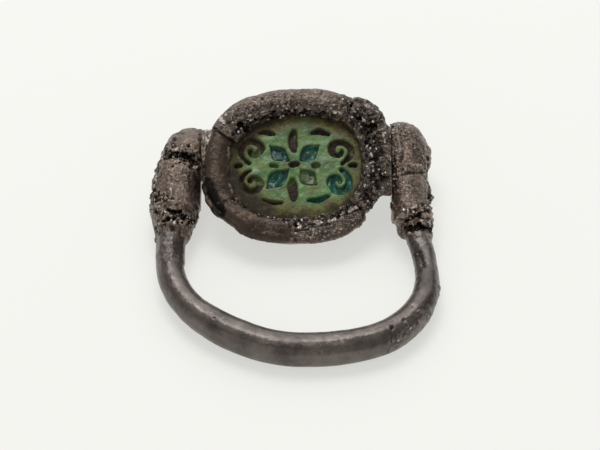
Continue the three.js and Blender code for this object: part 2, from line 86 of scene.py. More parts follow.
# Ways on the table, as the photograph shows them
LEFT = (-1, 0, 0)
RIGHT = (1, 0, 0)
NEAR = (0, -1, 0)
FAR = (0, 1, 0)

# Unevenness, in layers of noise: the strength of each, its size in millimetres and its seed
RAGGED_EDGE = ((1.0, 0.45, 0), (0.5, 0.2, 2))
BROAD_LUMPS = ((1.0, 2.3, 11), (0.6, 1.1, 12), (0.25, 0.6, 13))
CRUST_LUMPS = ((0.6, 0.55, 4), (0.5, 0.3, 5), (0.5, 0.18, 6))
CRUMBLED_EDGE = ((0.07, 0.6, 23), (0.05, 0.27, 24))
WORN_FACE = ((0.05, 1.3, 7), (0.02, 0.4, 8))

# Patches of noise: where one starts and where it is full, its size in millimetres and its seed
WRINKLED = (-0.2, 0.5, 1.7, 15)
PITS = (0.15, 0.45, 0.3, 16)
PITTED = (-0.4, 0.3, 1.9, 17)
SOOTY_CRUST = (0.0, 0.4, 0.38, 18)
GLINT_PATCHES = (-0.35, 0.25, 0.34, 19)
EARTHY = (-0.5, 0.1, 0.9, 26)
SILTED = (0.1, 0.5, 0.8, 27)
PATCHY_STAIN_AND_SHADE = (-0.3, 0.6, 1.2, 28)

# The layers of the broad lumps add up to 1.85, and this share brings them back to their height
LUMP_SHARE = 0.55

# Wrinkles run where a noise passes through 0: its size in millimetres and its seed, and how sharp they are
WRINKLES = (0.7, 14)
WRINKLE_SHARPNESS = 4

# In millimetres: the size of the fine grain, the depth of wrinkles and pits, and the depth at which a
# mark is painted quite black inside, as painted shade
GRAIN_SIZE = 0.3
WRINKLE_DEPTH = 0.09
PIT_DEPTH = 0.12
DEEP_MARK = 0.45

# Where a soft change starts and where it is full: for what faces the camera, for the end of a piece that
# faces one way, for the edge of a hollow, for the holes in it and for the painted shade in them
FACES_CAMERA = (-0.1, 0.35)
FACES_WAY = (0.6, 0.9)
HOLLOW_EDGE = (0.15, 0.5)
HOLES = (0.0, 0.16)
HOLE_SHADE = (0.1, 0.7)

# How much of the sooty specks in the crust shows
CRUST_SOOT = 0.7

# In millimetres on the stone: how far the cutter's lines sway and over what length, with the seeds for
# the sway along the face and across it. Then how soft the edge of a cut is, how far the stain and painted
# shade go beside it, and how deep the frame's plain cuts reach at most.
CUT_SWAY = 0.16
SWAY_LENGTH = 1.5
SWAY_SEEDS = (21, 22)
CUT_BLUR = 0.06
STAIN_AND_SHADE_REACH = 0.3
PLAIN_CUT = 0.6

# The floor of a cut, as a share of its depth: its middle level, how far it goes up and down, and the size
# and seed of the noise that it follows
CUT_LEVEL = 0.85
CUT_SWING = 0.3
CUT_FLOOR = (0.5, 25)

# How deep under the stone's face a vertex is off it and is on it, and how it has to face, there and on
# the beetle's back
OFF_FACE = 0.3
ON_FACE = 0.1
FACES_OUT = (0.5, 0.8)
FACES_DOWN = (0, 0.4)

# The shares of earth that lie in the pools and in the beetle's lines, where the stain along the stone's
# edge starts and is full, its lean to the left, and its share on the beetle's back
POOL_EARTH = 0.35
LINE_EARTH = 0.75
EDGE_STAIN = (0.55, 1.0)
STAIN_LEAN = 0.1
BACK_STAIN = 0.4

# A mark's edge wanders by a share of its width, and a ragged one's more. A rub, a painted glint, fades out
# past its width.
WANDER = 0.35
RAGGED = 0.6
GLINT_FADE = 1.35


def linear(code):
    """A colour written as sRGB hex, in linear light."""
    parts = [int(code[i:i + 2], 16) / 255 for i in (1, 3, 5)]
    return (*[p / 12.92 if p <= 0.04045 else ((p + 0.055) / 1.055) ** 2.4 for p in parts], 1.0)


def length(label, about, size):
    """A length in millimetres that a user can change."""
    return bpy.props.FloatProperty(
        name=label, description=about, default=size * MM, min=0.0, precision=5, unit="LENGTH"
    )


def colour(label, about, code):
    """A colour that a user can change."""
    return bpy.props.FloatVectorProperty(
        name=label, description=about, default=linear(code), size=4, min=0.0, max=1.0, subtype="COLOR"
    )


class RingSizes(bpy.types.PropertyGroup):
    """How coarse the surfaces are, and how deep their marks."""

    skin: length("Skin", "Mesh size of the silver's surface", 0.1)
    fine_skin: length("Fine skin", "Mesh size of the stone's surface", 0.075)
    lump: length("Lump height", "How far the broad unevenness stands out", 0.16)
    grain: length("Grain height", "How far the fine pitting stands out", 0.05)
    crust: length("Crust height", "How far the corrosion crust stands out", 0.26)
    cut: length("Cut depth", "How deep the seal is cut into the stone", 0.55)


class RingColours(bpy.types.PropertyGroup):
    """The colours of the silver, its crust and the glaze."""

    silver_dark: colour("Tarnish, dark", "Silver where its tarnish is thickest", "#50433A")
    silver_mid: colour("Tarnish", "Silver under an even tarnish", "#78685C")
    silver_pale: colour("Worn silver", "Silver on rubbed edges", "#BCAB9A")
    # Also the painted shade in the silver's hollows
    crust_dark_and_shade: colour("Crust, dark", "Corrosion in the hollows", "#1E1612")
    crust_brown: colour("Crust", "Corrosion with earth in it", "#725A45")
    glaze_green: colour("Glaze", "The stone's pale green glaze", "#678B4C")
    glaze_teal: colour("Pooled glaze", "Glaze that ran thick in the wide cuts", "#1B6650")
    glaze_olive: colour("Stained glaze", "Glaze stained along the stone's edge", "#66591C")
    cut_brown: colour("Dirt", "Earth left in the narrow cuts", "#2A1C14")
    floor: colour("Floor", "The pale table", "#AFAFAC")


# Bench tools: every piece is copied from its node, skinned and shaped in millimetres


def choose(piece):
    """Makes a piece the only one selected, and the active one."""
    bpy.ops.object.select_all(action="DESELECT")
    piece.select_set(True)
    bpy.context.view_layer.objects.active = piece


def finish_with(piece, kind, **settings):
    """Adds a modifier to a piece and applies it."""
    choose(piece)
    modifier = piece.modifiers.new(kind.title(), kind)
    for name, value in settings.items():
        setattr(modifier, name, value)
    bpy.ops.object.modifier_apply(modifier=modifier.name)


def skinned_copy(node, skin, rounding, joined=()):
    """A copy of a node's mesh on the bench: merged, given an even skin, lengthened where corrosion
    joins it to what is next to it, and rounded."""
    piece = bpy.data.objects.new(node + "_dressed", frame["nodes"][node].data.copy())
    bpy.context.scene.collection.objects.link(piece)
    piece.data.materials.clear()
    piece.data.transform(Matrix.Scale(1 / MM, 4))
    choose(piece)
    bpy.ops.object.mode_set(mode="EDIT")
    bpy.ops.mesh.select_all(action="SELECT")
    bpy.ops.mesh.remove_doubles(threshold=0.001)
    bpy.ops.object.mode_set(mode="OBJECT")
    finish_with(piece, "REMESH", mode="VOXEL", voxel_size=skin)
    for way, by in joined:
        lengthen(piece, way, by)
    finish_with(piece, "SMOOTH", factor=0.5, iterations=rounding)
    return piece


def rows_of(items, name, wide=3, kind=float):
    """What a mesh keeps for each of its items, one row for each."""
    values = np.empty(len(items) * wide, dtype=kind)
    items.foreach_get(name, values)
    return values.reshape(-1, wide)


def places_of(piece):
    """The places of a piece's vertices."""
    return rows_of(piece.data.vertices, "co")


def outward_of(piece):
    """The directions in which a piece's vertices face."""
    return rows_of(piece.data.vertex_normals, "vector")


def put_back(piece, places):
    """Moves a piece's vertices to new places."""
    piece.data.vertices.foreach_set("co", places.ravel())
    piece.data.update()


def swell(piece, heights):
    """Raises each vertex by its own height, or sinks it where that is below 0."""
    put_back(piece, places_of(piece) + outward_of(piece) * heights[:, None])


def note(piece, name, values):
    """Keeps a value for each vertex, for the piece's material to read."""
    attribute = piece.data.attributes.new(name, "FLOAT", "POINT")
    attribute.data.foreach_set("value", np.ascontiguousarray(values, dtype=np.float32))


def soft_step(low, high, value):
    """Rises softly from 0 at low to 1 at high."""
    t = np.clip((value - low) / (high - low), 0, 1)
    return t * t * (3 - 2 * t)


# Odd numbers that scramble the place of a corner of the noise into its value, one of so many levels, and
# how many corners apart the seeds lie
SCRAMBLE = (73856093, 19349663, 83492791)
SCRAMBLE_AGAIN = 1274126177
LEVELS = 4096
SEED_STEP = 31


def uneven(places, size, seed=0):
    """Smooth random values from -1 to 1, with a hill or a hollow about every size."""
    scaled = places / size
    cell = np.floor(scaled).astype(np.int64)
    soft = soft_step(0, 1, scaled - cell)
    total = np.zeros(len(places))
    for corner in np.ndindex(2, 2, 2):
        x, y, z = ((cell + corner + seed * SEED_STEP) * SCRAMBLE).T
        mixed = x ^ y ^ z
        mixed = ((mixed ^ (mixed >> 13)) * SCRAMBLE_AGAIN) & 0x7FFFFFFF
        value = (mixed >> 8) % LEVELS / (LEVELS / 2) - 1
        total += value * np.prod(np.where(corner, soft, 1 - soft), axis=1)
    return total


def layered(places, layers):
    """Unevenness in several layers."""
    return sum(strength * uneven(places, size, seed) for strength, size, seed in layers)


def patchy(places, patches):
    """1 in random patches and 0 between them."""
    low, high, size, seed = patches
    return soft_step(low, high, uneven(places, size, seed))


def on_photo(places):
    """The photograph's pixel for each place."""
    toward = places - EYE
    depth = -(toward @ BACKWARD)
    across = PHOTO_WIDTH / 2 + FOCAL * (toward @ RIGHTWARD) / depth
    down = PHOTO_HEIGHT / 2 - FOCAL * (toward @ UPWARD) / depth
    return np.stack([across, down], axis=1)


def seen_share(piece):
    """1 for each vertex that faces the photograph's camera, down to 0 for those that face away."""
    return soft_step(*FACES_CAMERA, outward_of(piece) @ BACKWARD)


def to_line(spots, start, end):
    """How far each spot lies from a straight line, and the share of the line that is before it."""
    step = end - start
    share = np.clip((spots - start) @ step / (step @ step), 0, 1)
    return np.linalg.norm(spots - start - share[:, None] * step, axis=1), share


def to_route(spots, route):
    """How far each spot lies from a route, which may be a single point."""
    route = np.array(route, float)
    nearest = np.linalg.norm(spots - route[0], axis=1)
    for start, end in zip(route, route[1:]):
        nearest = np.minimum(nearest, to_line(spots, start, end)[0])
    return nearest


def near_route(piece, route, width, wander=WANDER):
    """How near each vertex is to a route on the photograph: 1 on it, 0 past its width."""
    places = places_of(piece)
    reach = to_route(on_photo(places), route) / width + wander * layered(places, RAGGED_EDGE)
    return 1 - soft_step(0, 1, reach)


def covered(piece, marks, wander=WANDER):
    """How much of a vertex is covered by marks, each given as its route, its width and its share."""
    cover = np.zeros(len(piece.data.vertices))
    for route, width, share in marks:
        cover = np.maximum(cover, share * near_route(piece, route, width, wander))
    return cover


def carve(piece, route, width, depth):
    """Sinks the surface along a route on the photograph, on the side that faces the camera."""
    swell(piece, -depth * near_route(piece, route, width) * seen_share(piece))


def eaten_away(piece, plain, hollows):
    """How deep ragged holes go at each vertex. They lie along routes on the photograph, and follow a noise
    at the plain places, from before the lumps and strokes moved them."""
    eaten = np.zeros(len(plain))
    for route, width, depth, size in hollows:
        holes = layered(plain, ((0.6, size, 31), (0.5, size / 2, 32)))
        share = soft_step(*HOLLOW_EDGE, near_route(piece, route, width, RAGGED)) * soft_step(*HOLES, holes)
        eaten = np.maximum(eaten, depth * share)
    return eaten * seen_share(piece)


def pull(piece, route, width, shift):
    """Draws the surface near a route on the photograph one way, by a shift in millimetres."""
    near = near_route(piece, route, width, wander=0.1)
    put_back(piece, places_of(piece) + near[:, None] * np.array(shift, float))


def lengthen(piece, way, by):
    """Pushes out the end of a piece that faces one way, given as a direction or a function of place."""
    places = places_of(piece)
    ways = way(places) if callable(way) else np.array(way, float)
    facing = np.sum(outward_of(piece) * ways, axis=1)
    put_back(piece, places + ways * (by * soft_step(*FACES_WAY, facing))[:, None])


def taper(piece, way, reach, by):
    """Draws one end of a sheath in towards the bar that it is wrapped round."""
    places = places_of(piece)
    way = np.array(way, float)
    along = places @ way
    near = soft_step(along.max() - reach, along.max(), along)
    inward = places[near > 0.5].mean(axis=0) - places
    inward -= np.outer(inward @ way, way)
    inward /= np.linalg.norm(inward, axis=1)[:, None]
    put_back(piece, places + inward * (by * near)[:, None])


def roughen(piece, height):
    """Raises and sinks the whole surface by a fine cloudy noise."""
    texture = bpy.data.textures.new(piece.name, "CLOUDS")
    texture.noise_scale = GRAIN_SIZE
    texture.noise_depth = 3
    finish_with(piece, "DISPLACE", texture=texture, strength=height, mid_level=0.5, texture_coords="LOCAL")


def to_setting(places):
    """Places in the setting's own frame: +Z out of the stone's face, the wire at the origin."""
    x, y, z = (places - PIVOT).T
    c, s = math.cos(BEZEL_TURN), math.sin(BEZEL_TURN)
    return np.stack([x, c * y + s * z, c * z - s * y], axis=1)


def from_setting(places):
    """Places in the frame, from the setting's own."""
    x, y, z = places.T
    c, s = math.cos(BEZEL_TURN), math.sin(BEZEL_TURN)
    return np.stack([x, c * y - s * z, s * y + c * z], axis=1) + PIVOT


def forward_round(places):
    """The way round the oval of the setting that goes from its far side to its left."""
    spots = (to_setting(places)[:, :2] - STONE_MIDDLE) / STONE_HALVES
    turn = np.arctan2(spots[:, 1], spots[:, 0])
    ahead = np.stack([-np.sin(turn) * STONE_HALVES[0], np.cos(turn) * STONE_HALVES[1], 0 * turn], axis=1)
    ahead = from_setting(ahead) - PIVOT
    return ahead / np.linalg.norm(ahead, axis=1)[:, None]


def backward_round(places):
    """The other way round the oval of the setting."""
    return -forward_round(places)


def neighbour_mean(piece, values, rounds=1):
    """Values averaged over the neighbouring vertices."""
    one, other = rows_of(piece.data.edges, "vertices", 2, np.int64).T
    count = len(piece.data.vertices)
    share = np.bincount(one, minlength=count) + np.bincount(other, minlength=count)
    for _ in range(rounds):
        total = np.bincount(one, values[other], count) + np.bincount(other, values[one], count)
        values = total / np.maximum(share, 1)
    return values


def note_wear_and_shade(piece, skin):
    """Notes how far each vertex stands out of its surroundings (above 0) or lies in a hollow, for worn pale
    edges and painted shade in the hollows.
    """
    places = places_of(piece)
    means = np.stack([neighbour_mean(piece, places[:, i], rounds=4) for i in range(3)], axis=1)
    proud = np.einsum("ij,ij->i", places - means, outward_of(piece)) / skin
    note(piece, "wear_and_shade", np.clip(neighbour_mean(piece, proud), -1, 1))


def clear_of_neighbours(piece, body):
    """Keeps a piece off the table, on its own side of the swivel's running gap, and off the wire that
    it turns on."""
    places = places_of(piece) - PIVOT
    from_axis = np.hypot(places[:, 1], places[:, 2])
    if body == "hoop":
        pushed = np.sign(places[:, 0]) * np.maximum(np.abs(places[:, 0]), SHOULDER_FACE)
        places[:, 0] = np.where(from_axis < SWEPT_RADIUS, pushed, places[:, 0])
        places[:, 2] = np.maximum(places[:, 2], -PIVOT[2])
    else:
        places[:, 0] = np.clip(places[:, 0], -SETTING_END, SETTING_END)
        places[:, 1:] *= np.maximum(1, BORE_RADIUS / from_axis)[:, None]
    put_back(piece, places + PIVOT)


def into_frame(piece, body, node, material):
    """Brings a finished piece from the bench to its place in the frame."""
    piece.data.transform(Matrix.Scale(MM, 4))
    piece.data.materials.append(material)
    choose(piece)
    bpy.ops.object.shade_smooth()
    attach(piece, body)
    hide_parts(node)


def dress(node, body, slot, finish, strokes=(), crusts=(), pulls=(), joined=(), hollows=(), soots_and_shades=(),
          painted_glints=(), tapered=(), rounding=14, lumps=1.0, grain=1.0, pitted=0.6):
    """Dresses one silver piece: its lumps, its marks and its crust, in the order they formed, with the
    painted shade in its marks and hollows and its painted glints.
    """
    sizes = bpy.context.scene.ring_sizes
    skin = sizes.skin / MM
    piece = skinned_copy(node, skin, rounding, joined)
    for way, reach, by in tapered:
        taper(piece, way, reach, by)
    for route, width, shift in pulls:
        pull(piece, route, width, shift)
    plain = places_of(piece)
    swell(piece, layered(plain, BROAD_LUMPS) * lumps * sizes.lump / MM * LUMP_SHARE)
    # Soot and painted shade: carved marks, holes and pits are painted darker the deeper they go, the listed
    # soot marks paint shade where light does not reach, and the crust has dark specks of its own
    sooty_and_shaded = np.zeros(len(plain))
    for route, width, depth in strokes:
        carve(piece, route, width, depth)
        sooty_and_shaded = np.maximum(sooty_and_shaded, near_route(piece, route, width) * min(1, depth / DEEP_MARK))
    sooty_and_shaded = np.maximum(sooty_and_shaded, covered(piece, soots_and_shades))
    crusty = covered(piece, crusts)
    eaten = eaten_away(piece, plain, hollows)
    sooty_and_shaded = np.maximum(sooty_and_shaded, soft_step(*HOLE_SHADE, eaten / DEEP_MARK))
    places = places_of(piece)
    rough = layered(places, CRUST_LUMPS) * crusty * sizes.crust / MM
    wrinkles = np.clip(1 - WRINKLE_SHARPNESS * np.abs(uneven(places, *WRINKLES)), 0, 1)
    wrinkles = wrinkles * patchy(places, WRINKLED)
    pits = patchy(places, PITS) * patchy(places, PITTED)
    sunk = pitted * (WRINKLE_DEPTH * wrinkles + PIT_DEPTH * pits) * (1 - crusty) + eaten
    sooty_and_shaded = np.maximum(sooty_and_shaded, pitted * pits)
    sooty_and_shaded = np.maximum(sooty_and_shaded, CRUST_SOOT * crusty * patchy(places, SOOTY_CRUST))
    swell(piece, rough - sunk)
    roughen(piece, grain * sizes.grain / MM)
    clear_of_neighbours(piece, body)
    note(piece, "crust", crusty)
    note(piece, "soot_and_shade", np.clip(sooty_and_shaded, 0, 1))
    # Painted glints: pale bare silver along the listed rubs, on the side that faces the camera
    painted_glint = covered(piece, [(route, GLINT_FADE * width, 1) for route, width in painted_glints], RAGGED)
    note(piece, "painted_glint", painted_glint * patchy(places, GLINT_PATCHES) * seen_share(piece))
    note_wear_and_shade(piece, skin)
    into_frame(piece, body, node, silver(finish))


# Materials


def add_node(tree, kind, inputs=(), **settings):
    """Adds a node with its settings. An input is a value, a socket, or a node for its first socket."""
    node = tree.nodes.new("ShaderNode" + kind)
    for name, value in settings.items():
        setattr(node, name, value)
    for key, value in dict(inputs).items():
        if isinstance(value, bpy.types.Node):
            value = next(socket for socket in value.outputs if socket.enabled)
        if isinstance(value, bpy.types.NodeSocket):
            tree.links.new(value, node.inputs[key])
        else:
            node.inputs[key].default_value = value
    return node


# The keys of a Mix node's factor and its two colours, and of a Map Range node's value and limits
SHARE, FIRST, SECOND = 0, 6, 7
VALUE, LOW, HIGH, TO_LOW, TO_HIGH = range(5)


def empty_material(name):
    """A material and its tree of nodes, with nothing in it."""
    material = bpy.data.materials.new(name)
    material.use_nodes = True
    material.node_tree.nodes.clear()
    return material, material.node_tree


def overlaid(tree, base, layers):
    """A colour with others laid over it in turn. Each layer has what drives it, the values at which it
    starts and is full, how much of it shows then, and its colour."""
    for value, low, high, most, over in layers:
        share = add_node(tree, "MapRange", {VALUE: value, LOW: low, HIGH: high, TO_HIGH: most})
        base = add_node(tree, "Mix", {SHARE: share, FIRST: base, SECOND: over}, data_type="RGBA")
    return base


def crystals_of(tree, place, size, chance, core, shown):
    """How much of a crystal each spot is, and the cells that the crystals sit in. They have a size in
    millimetres, limits for a cell's chance of holding one and for its core, and a share that shows."""
    cells = add_node(tree, "TexVoronoi", {"Vector": place, "Scale": 1 / (size * MM)})
    draw = add_node(tree, "SeparateColor", {0: cells.outputs["Color"]})
    picked = add_node(tree, "MapRange", {VALUE: draw, LOW: chance[0], HIGH: chance[1]})
    inner = add_node(tree, "MapRange", {VALUE: cells.outputs["Distance"], LOW: core[0], HIGH: core[1]})
    crystal_glints = add_node(tree, "Math", {0: picked, 1: inner}, operation="MULTIPLY")
    return add_node(tree, "Math", {0: crystal_glints, 1: shown}, operation="MULTIPLY"), cells


def tarnished_silver(name, polish, shine, grit, tone, sparkle, gloss):
    """Silver under centuries of tarnish: a dark warm grey skin that still shines like metal, paler
    where fingers rub it, with a matt, sparkling brown crust where salts broke through. Painted shade
    darkens its hollows and deep marks, and painted glints lie on its bare spots and crystals."""
    colours = bpy.context.scene.ring_colours
    dark, middle, pale, brown, soot_and_shade = [
        (*[share * part for share, part in zip(tone, each)], 1.0)
        for each in (colours.silver_dark, colours.silver_mid, colours.silver_pale,
                     colours.crust_brown, colours.crust_dark_and_shade)
    ]
    material, tree = empty_material(name)
    place = add_node(tree, "TexCoord").outputs["Object"]
    wear_and_shade, crust, black, painted_glint = [
        add_node(tree, "Attribute", attribute_name=noted).outputs["Fac"]
        for noted in ("wear_and_shade", "crust", "soot_and_shade", "painted_glint")
    ]
    # Patches of tarnish are a finger's touch across, blotches a pinhead, specks a third of a millimetre
    # and grains half of that
    patches, blotches, specks, grains = [
        add_node(tree, "TexNoise", {"Vector": place, "Scale": 1 / (size * MM), "Detail": detail,
                                    "Roughness": rough})
        for size, detail, rough in ((2.4, 4, 0.5), (0.7, 5, 0.5), (0.32, 3, 0.6), (0.16, 4, 0.65))
    ]
    # Salt crystals are a tenth of a millimetre and less, drawn a little coarser to show, and painted near
    # white as glints
    glints = add_node(tree, "MapRange", {VALUE: crust, LOW: 0.2, HIGH: 0.8, TO_LOW: sparkle, TO_HIGH: 1.0})
    crystal_glints, cells = crystals_of(tree, place, 0.27, (0.85, 0.89), (0.48, 0.34), glints)
    glint_share = add_node(tree, "MapRange", {VALUE: painted_glint, LOW: 0.3, HIGH: 0.6, TO_HIGH: 0.65})
    earth = overlaid(tree, soot_and_shade, [(grains, 0.45, 0.65, 1, brown), (wear_and_shade, 0.1, 0.4, 0.6, pale)])
    base = overlaid(tree, dark, [
        # The even tarnish, brown stains, rubbed edges, and painted shade that darkens the hollows
        (patches, 0.35, 0.65, 1, middle),
        (blotches, 0.48, 0.72, min(0.5 * grit, 0.5), brown),
        (wear_and_shade, 0.1, 0.4, 0.3, pale),
        (wear_and_shade, -0.03, -0.35, 0.9, soot_and_shade),
        # The crust, with earth in it, and the dark and pale specks of its grain
        (crust, 0, 1, 0.85, earth),
        (grains, 0.5, 0.36, min(0.6 * grit, 0.9), soot_and_shade),
        (specks, 0.56, 0.68, min(0.3 * grit, 0.8), pale),
        # Black painted shade in the deep marks, painted glints of bare pale silver, and crystals painted
        # white as glints
        (black, 0.1, 0.8, 0.93, linear("#0D0A09")),
        (glint_share, 0, 1, 1, linear("#E3D5CC")),
        (crystal_glints, 0, 1, 1, linear("#FBF4EA")),
    ])
    # The crust is duller than the tarnish, and the crystals are glassy
    dull = {VALUE: blotches, LOW: 0.3, HIGH: 0.7, TO_LOW: polish - 0.07, TO_HIGH: polish + 0.12}
    dull = add_node(tree, "MapRange", dull)
    rough = add_node(tree, "MapRange", {VALUE: crust, TO_LOW: dull, TO_HIGH: 0.22})
    rough = add_node(tree, "MapRange", {VALUE: crystal_glints, TO_LOW: rough, TO_HIGH: 0.15})
    # Each crystal of the crust faces its own way, so some catch the light
    tilt = {0: cells.outputs["Color"], 1: (0.5, 0.5, 0.5)}
    tilt = add_node(tree, "VectorMath", tilt, operation="SUBTRACT")
    reach = add_node(tree, "MapRange", {VALUE: crust, LOW: 0.1, HIGH: 0.9, TO_LOW: 0.3 * grit, TO_HIGH: 1.4})
    tilt = add_node(tree, "VectorMath", {0: tilt, "Scale": reach}, operation="SCALE")
    flat = add_node(tree, "NewGeometry").outputs["Normal"]
    tilt = add_node(tree, "VectorMath", {0: tilt, 1: flat}, operation="ADD")
    bump = add_node(tree, "VectorMath", {0: tilt}, operation="NORMALIZE")
    steep = add_node(tree, "MapRange", {VALUE: crust, TO_LOW: 0.12 * grit * MM, TO_HIGH: 0.24 * grit * MM})
    reliefs = ((grains, 0.6, 0.04 * grit * MM), (specks, 0.8, steep), (blotches, 0.6, 0.12 * grit * MM))
    for height, strength, depth in reliefs:
        relief = {"Strength": strength, "Distance": depth, "Height": height, "Normal": bump}
        bump = add_node(tree, "Bump", relief)
    # The painted glints and crystals are hardly metal, so they stay pale in any light
    bright = add_node(tree, "Math", {0: crystal_glints, 1: glint_share}, operation="MAXIMUM")
    metal = add_node(tree, "MapRange", {VALUE: bright, TO_LOW: shine, TO_HIGH: 0.1})
    # No gloss reaches the deep marks and their painted shade
    gloss = add_node(tree, "MapRange", {VALUE: black, LOW: 0.2, HIGH: 0.8, TO_LOW: gloss, TO_HIGH: 0})
    surface = {"Base Color": base, "Roughness": rough, "Normal": bump, "Metallic": metal,
               "Coat Weight": gloss, "Coat Roughness": 0.12, "Coat Normal": bump}
    shader = add_node(tree, "BsdfPrincipled", surface)
    add_node(tree, "OutputMaterial", {0: shader})
    return material


# The ring's silver finishes: the name of each, the roughness of its tarnish, how metallic it is, its
# grit, its tone, how much it sparkles between the crusts, and its gloss
FINISHES = {
    # Hammered, and worn smooth by the finger
    "bar": ("Tarnished hammered silver", 0.41, 0.85, 0.22, (0.83, 0.93, 1.07), 0.03, 0.5),
    # A fine pitted skin that still has a sheen
    "sheath": ("Pitted tarnished silver", 0.38, 0.8, 1.1, (1.06, 1.0, 0.95), 0.1, 0.6),
    # Grainy sheet, darker
    "setting": ("Tarnished sheet silver", 0.3, 0.85, 1.1, (0.81, 0.78, 0.75), 0.1, 0.7),
    # Nearly black, with hardly a glint: a darker copy of the sheet silver, painted shade for the left plates
    # that face away from the light
    "black": ("Blackened sheet silver", 0.4, 0.8, 0.4, (0.48, 0.46, 0.43), 0, 0.15),
    # Rough, dark brown and sparkling
    "crust": ("Crusted silver", 0.3, 0.8, 1.3, (0.67, 0.625, 0.57), 0.3, 0.7),
}


def silver(finish):
    """One of the silver finishes, made when it is first asked for."""
    name, *look = FINISHES[finish]
    return bpy.data.materials.get(name) or tarnished_silver(name, *look)


def glazed_stone():
    """Soft carved stone under an old green glaze: glassy, paler on the flats, pooled to teal in the
    wide cuts, stained olive along the edge, with earth in the narrow cuts, and stain with painted shade
    beside the cuts."""
    colours = bpy.context.scene.ring_colours
    material, tree = empty_material("Glazed steatite")
    place = add_node(tree, "TexCoord").outputs["Object"]
    pool, dirt, edge, stain_and_shade = [
        add_node(tree, "Attribute", attribute_name=noted).outputs["Fac"]
        for noted in ("pool", "dirt", "margin", "stain_and_shade")
    ]
    # The glaze's clouds, the patches where it wore thin and its grains, by their size in millimetres
    patches, worn, grains = [
        add_node(tree, "TexNoise", {"Vector": place, "Scale": 1 / (size * MM), "Detail": detail,
                                    "Distortion": bent})
        for size, detail, bent in ((1.6, 5, 0), (0.9, 5, 0.6), (0.2, 4, 0))
    ]
    shift = add_node(tree, "MapRange", {VALUE: patches, LOW: 0.3, HIGH: 0.7, TO_LOW: -0.3, TO_HIGH: 0.3})
    margin = add_node(tree, "Math", {0: edge, 1: shift}, operation="ADD")
    coarse = add_node(tree, "MapRange", {VALUE: grains, LOW: 0.48, HIGH: 0.58, TO_HIGH: 0.6})
    near = add_node(tree, "MapRange", {VALUE: margin, LOW: 0.05, HIGH: 0.6})
    gritty = add_node(tree, "Math", {0: coarse, 1: near}, operation="MULTIPLY")
    teal = overlaid(tree, tuple(colours.glaze_teal), [(patches, 0.4, 0.6, 1, linear("#0E463C"))])
    earth = overlaid(tree, tuple(colours.cut_brown), [(grains, 0.42, 0.68, 1, linear("#44301F"))])
    # Crystals in the pools, a tenth of a millimetre, painted pale as glints
    glints = add_node(tree, "MapRange", {VALUE: pool, LOW: 0.3, HIGH: 0.8, TO_LOW: 0.04, TO_HIGH: 0.6})
    crystal_glints, _ = crystals_of(tree, place, 0.12, (0.86, 0.9), (0.42, 0.25), glints)
    base = overlaid(tree, tuple(colours.glaze_green), [
        # The even glaze, cloudy and speckled
        (patches, 0.35, 0.65, 1, linear("#467042")),
        (grains, 0.5, 0.7, 0.4, linear("#889055")),
        (grains, 0.46, 0.32, 0.5, linear("#2C4A2A")),
        # Olive towards the edge, nearly black at it, and grit
        (margin, 0.1, 0.75, 0.95, tuple(colours.glaze_olive)),
        (margin, 0.6, 0.95, 0.95, linear("#20160A")),
        (gritty, 0, 1, 1, linear("#33260F")),
        # Brown where the glaze wore thin, green where it is thick, and stain with painted shade beside the
        # cuts
        (worn, 0.54, 0.72, 0.6, linear("#6E5A2A")),
        (worn, 0.44, 0.3, 0.5, linear("#2B4A34")),
        (stain_and_shade, 0.1, 0.9, 0.7, linear("#3A3A1E")),
        # Teal pools, earth and the crystals
        (pool, 0.25, 0.7, 1, teal),
        (dirt, 0.3, 0.75, 1, earth),
        (crystal_glints, 0, 1, 1, linear("#A9C4B4")),
    ])
    dull = add_node(tree, "Math", {0: dirt, 1: edge}, operation="MAXIMUM")
    rough = add_node(tree, "MapRange", {VALUE: dull, LOW: 0.2, HIGH: 0.8, TO_LOW: 0.3, TO_HIGH: 0.8})
    bump = add_node(tree, "Bump", {"Strength": 0.8, "Distance": 0.05 * MM, "Height": grains})
    surface = {"Base Color": base, "Roughness": rough, "Normal": bump, "Coat Weight": 0.06}
    shader = add_node(tree, "BsdfPrincipled", surface)
    add_node(tree, "OutputMaterial", {0: shader})
    return material


# The stage

# Each lamp's bearing and height in degrees, its distance and width in metres, and its brightness.
# Bearings are to the right of straight behind the ring.
LAMPS = {
    "Key light": (-15, 68, 0.42, 0.24, 3.9),
    "Window": (0, 45, 0.5, 0.6, 1.1),
    "Front light": (-150, 30, 0.5, 0.4, 0.5),
}

# The floor's radius and its depth under the table's plane in metres, and how much it glows of itself
FLOOR_RADIUS = 3
FLOOR_DROP = 0.00002
FLOOR_GLOW = 1.3

# The room is a white wall all round, under a grey ceiling: the heights between which the one turns into
# the other, as shares of a look straight up, and how bright each is
WALL_TOP = (0.08, 0.35)
WALL_LIGHT = 0.93
CEILING_LIGHT = 0.3


class RingOperator:
    """What the ring's operators share."""

    bl_options = {"REGISTER", "UNDO"}


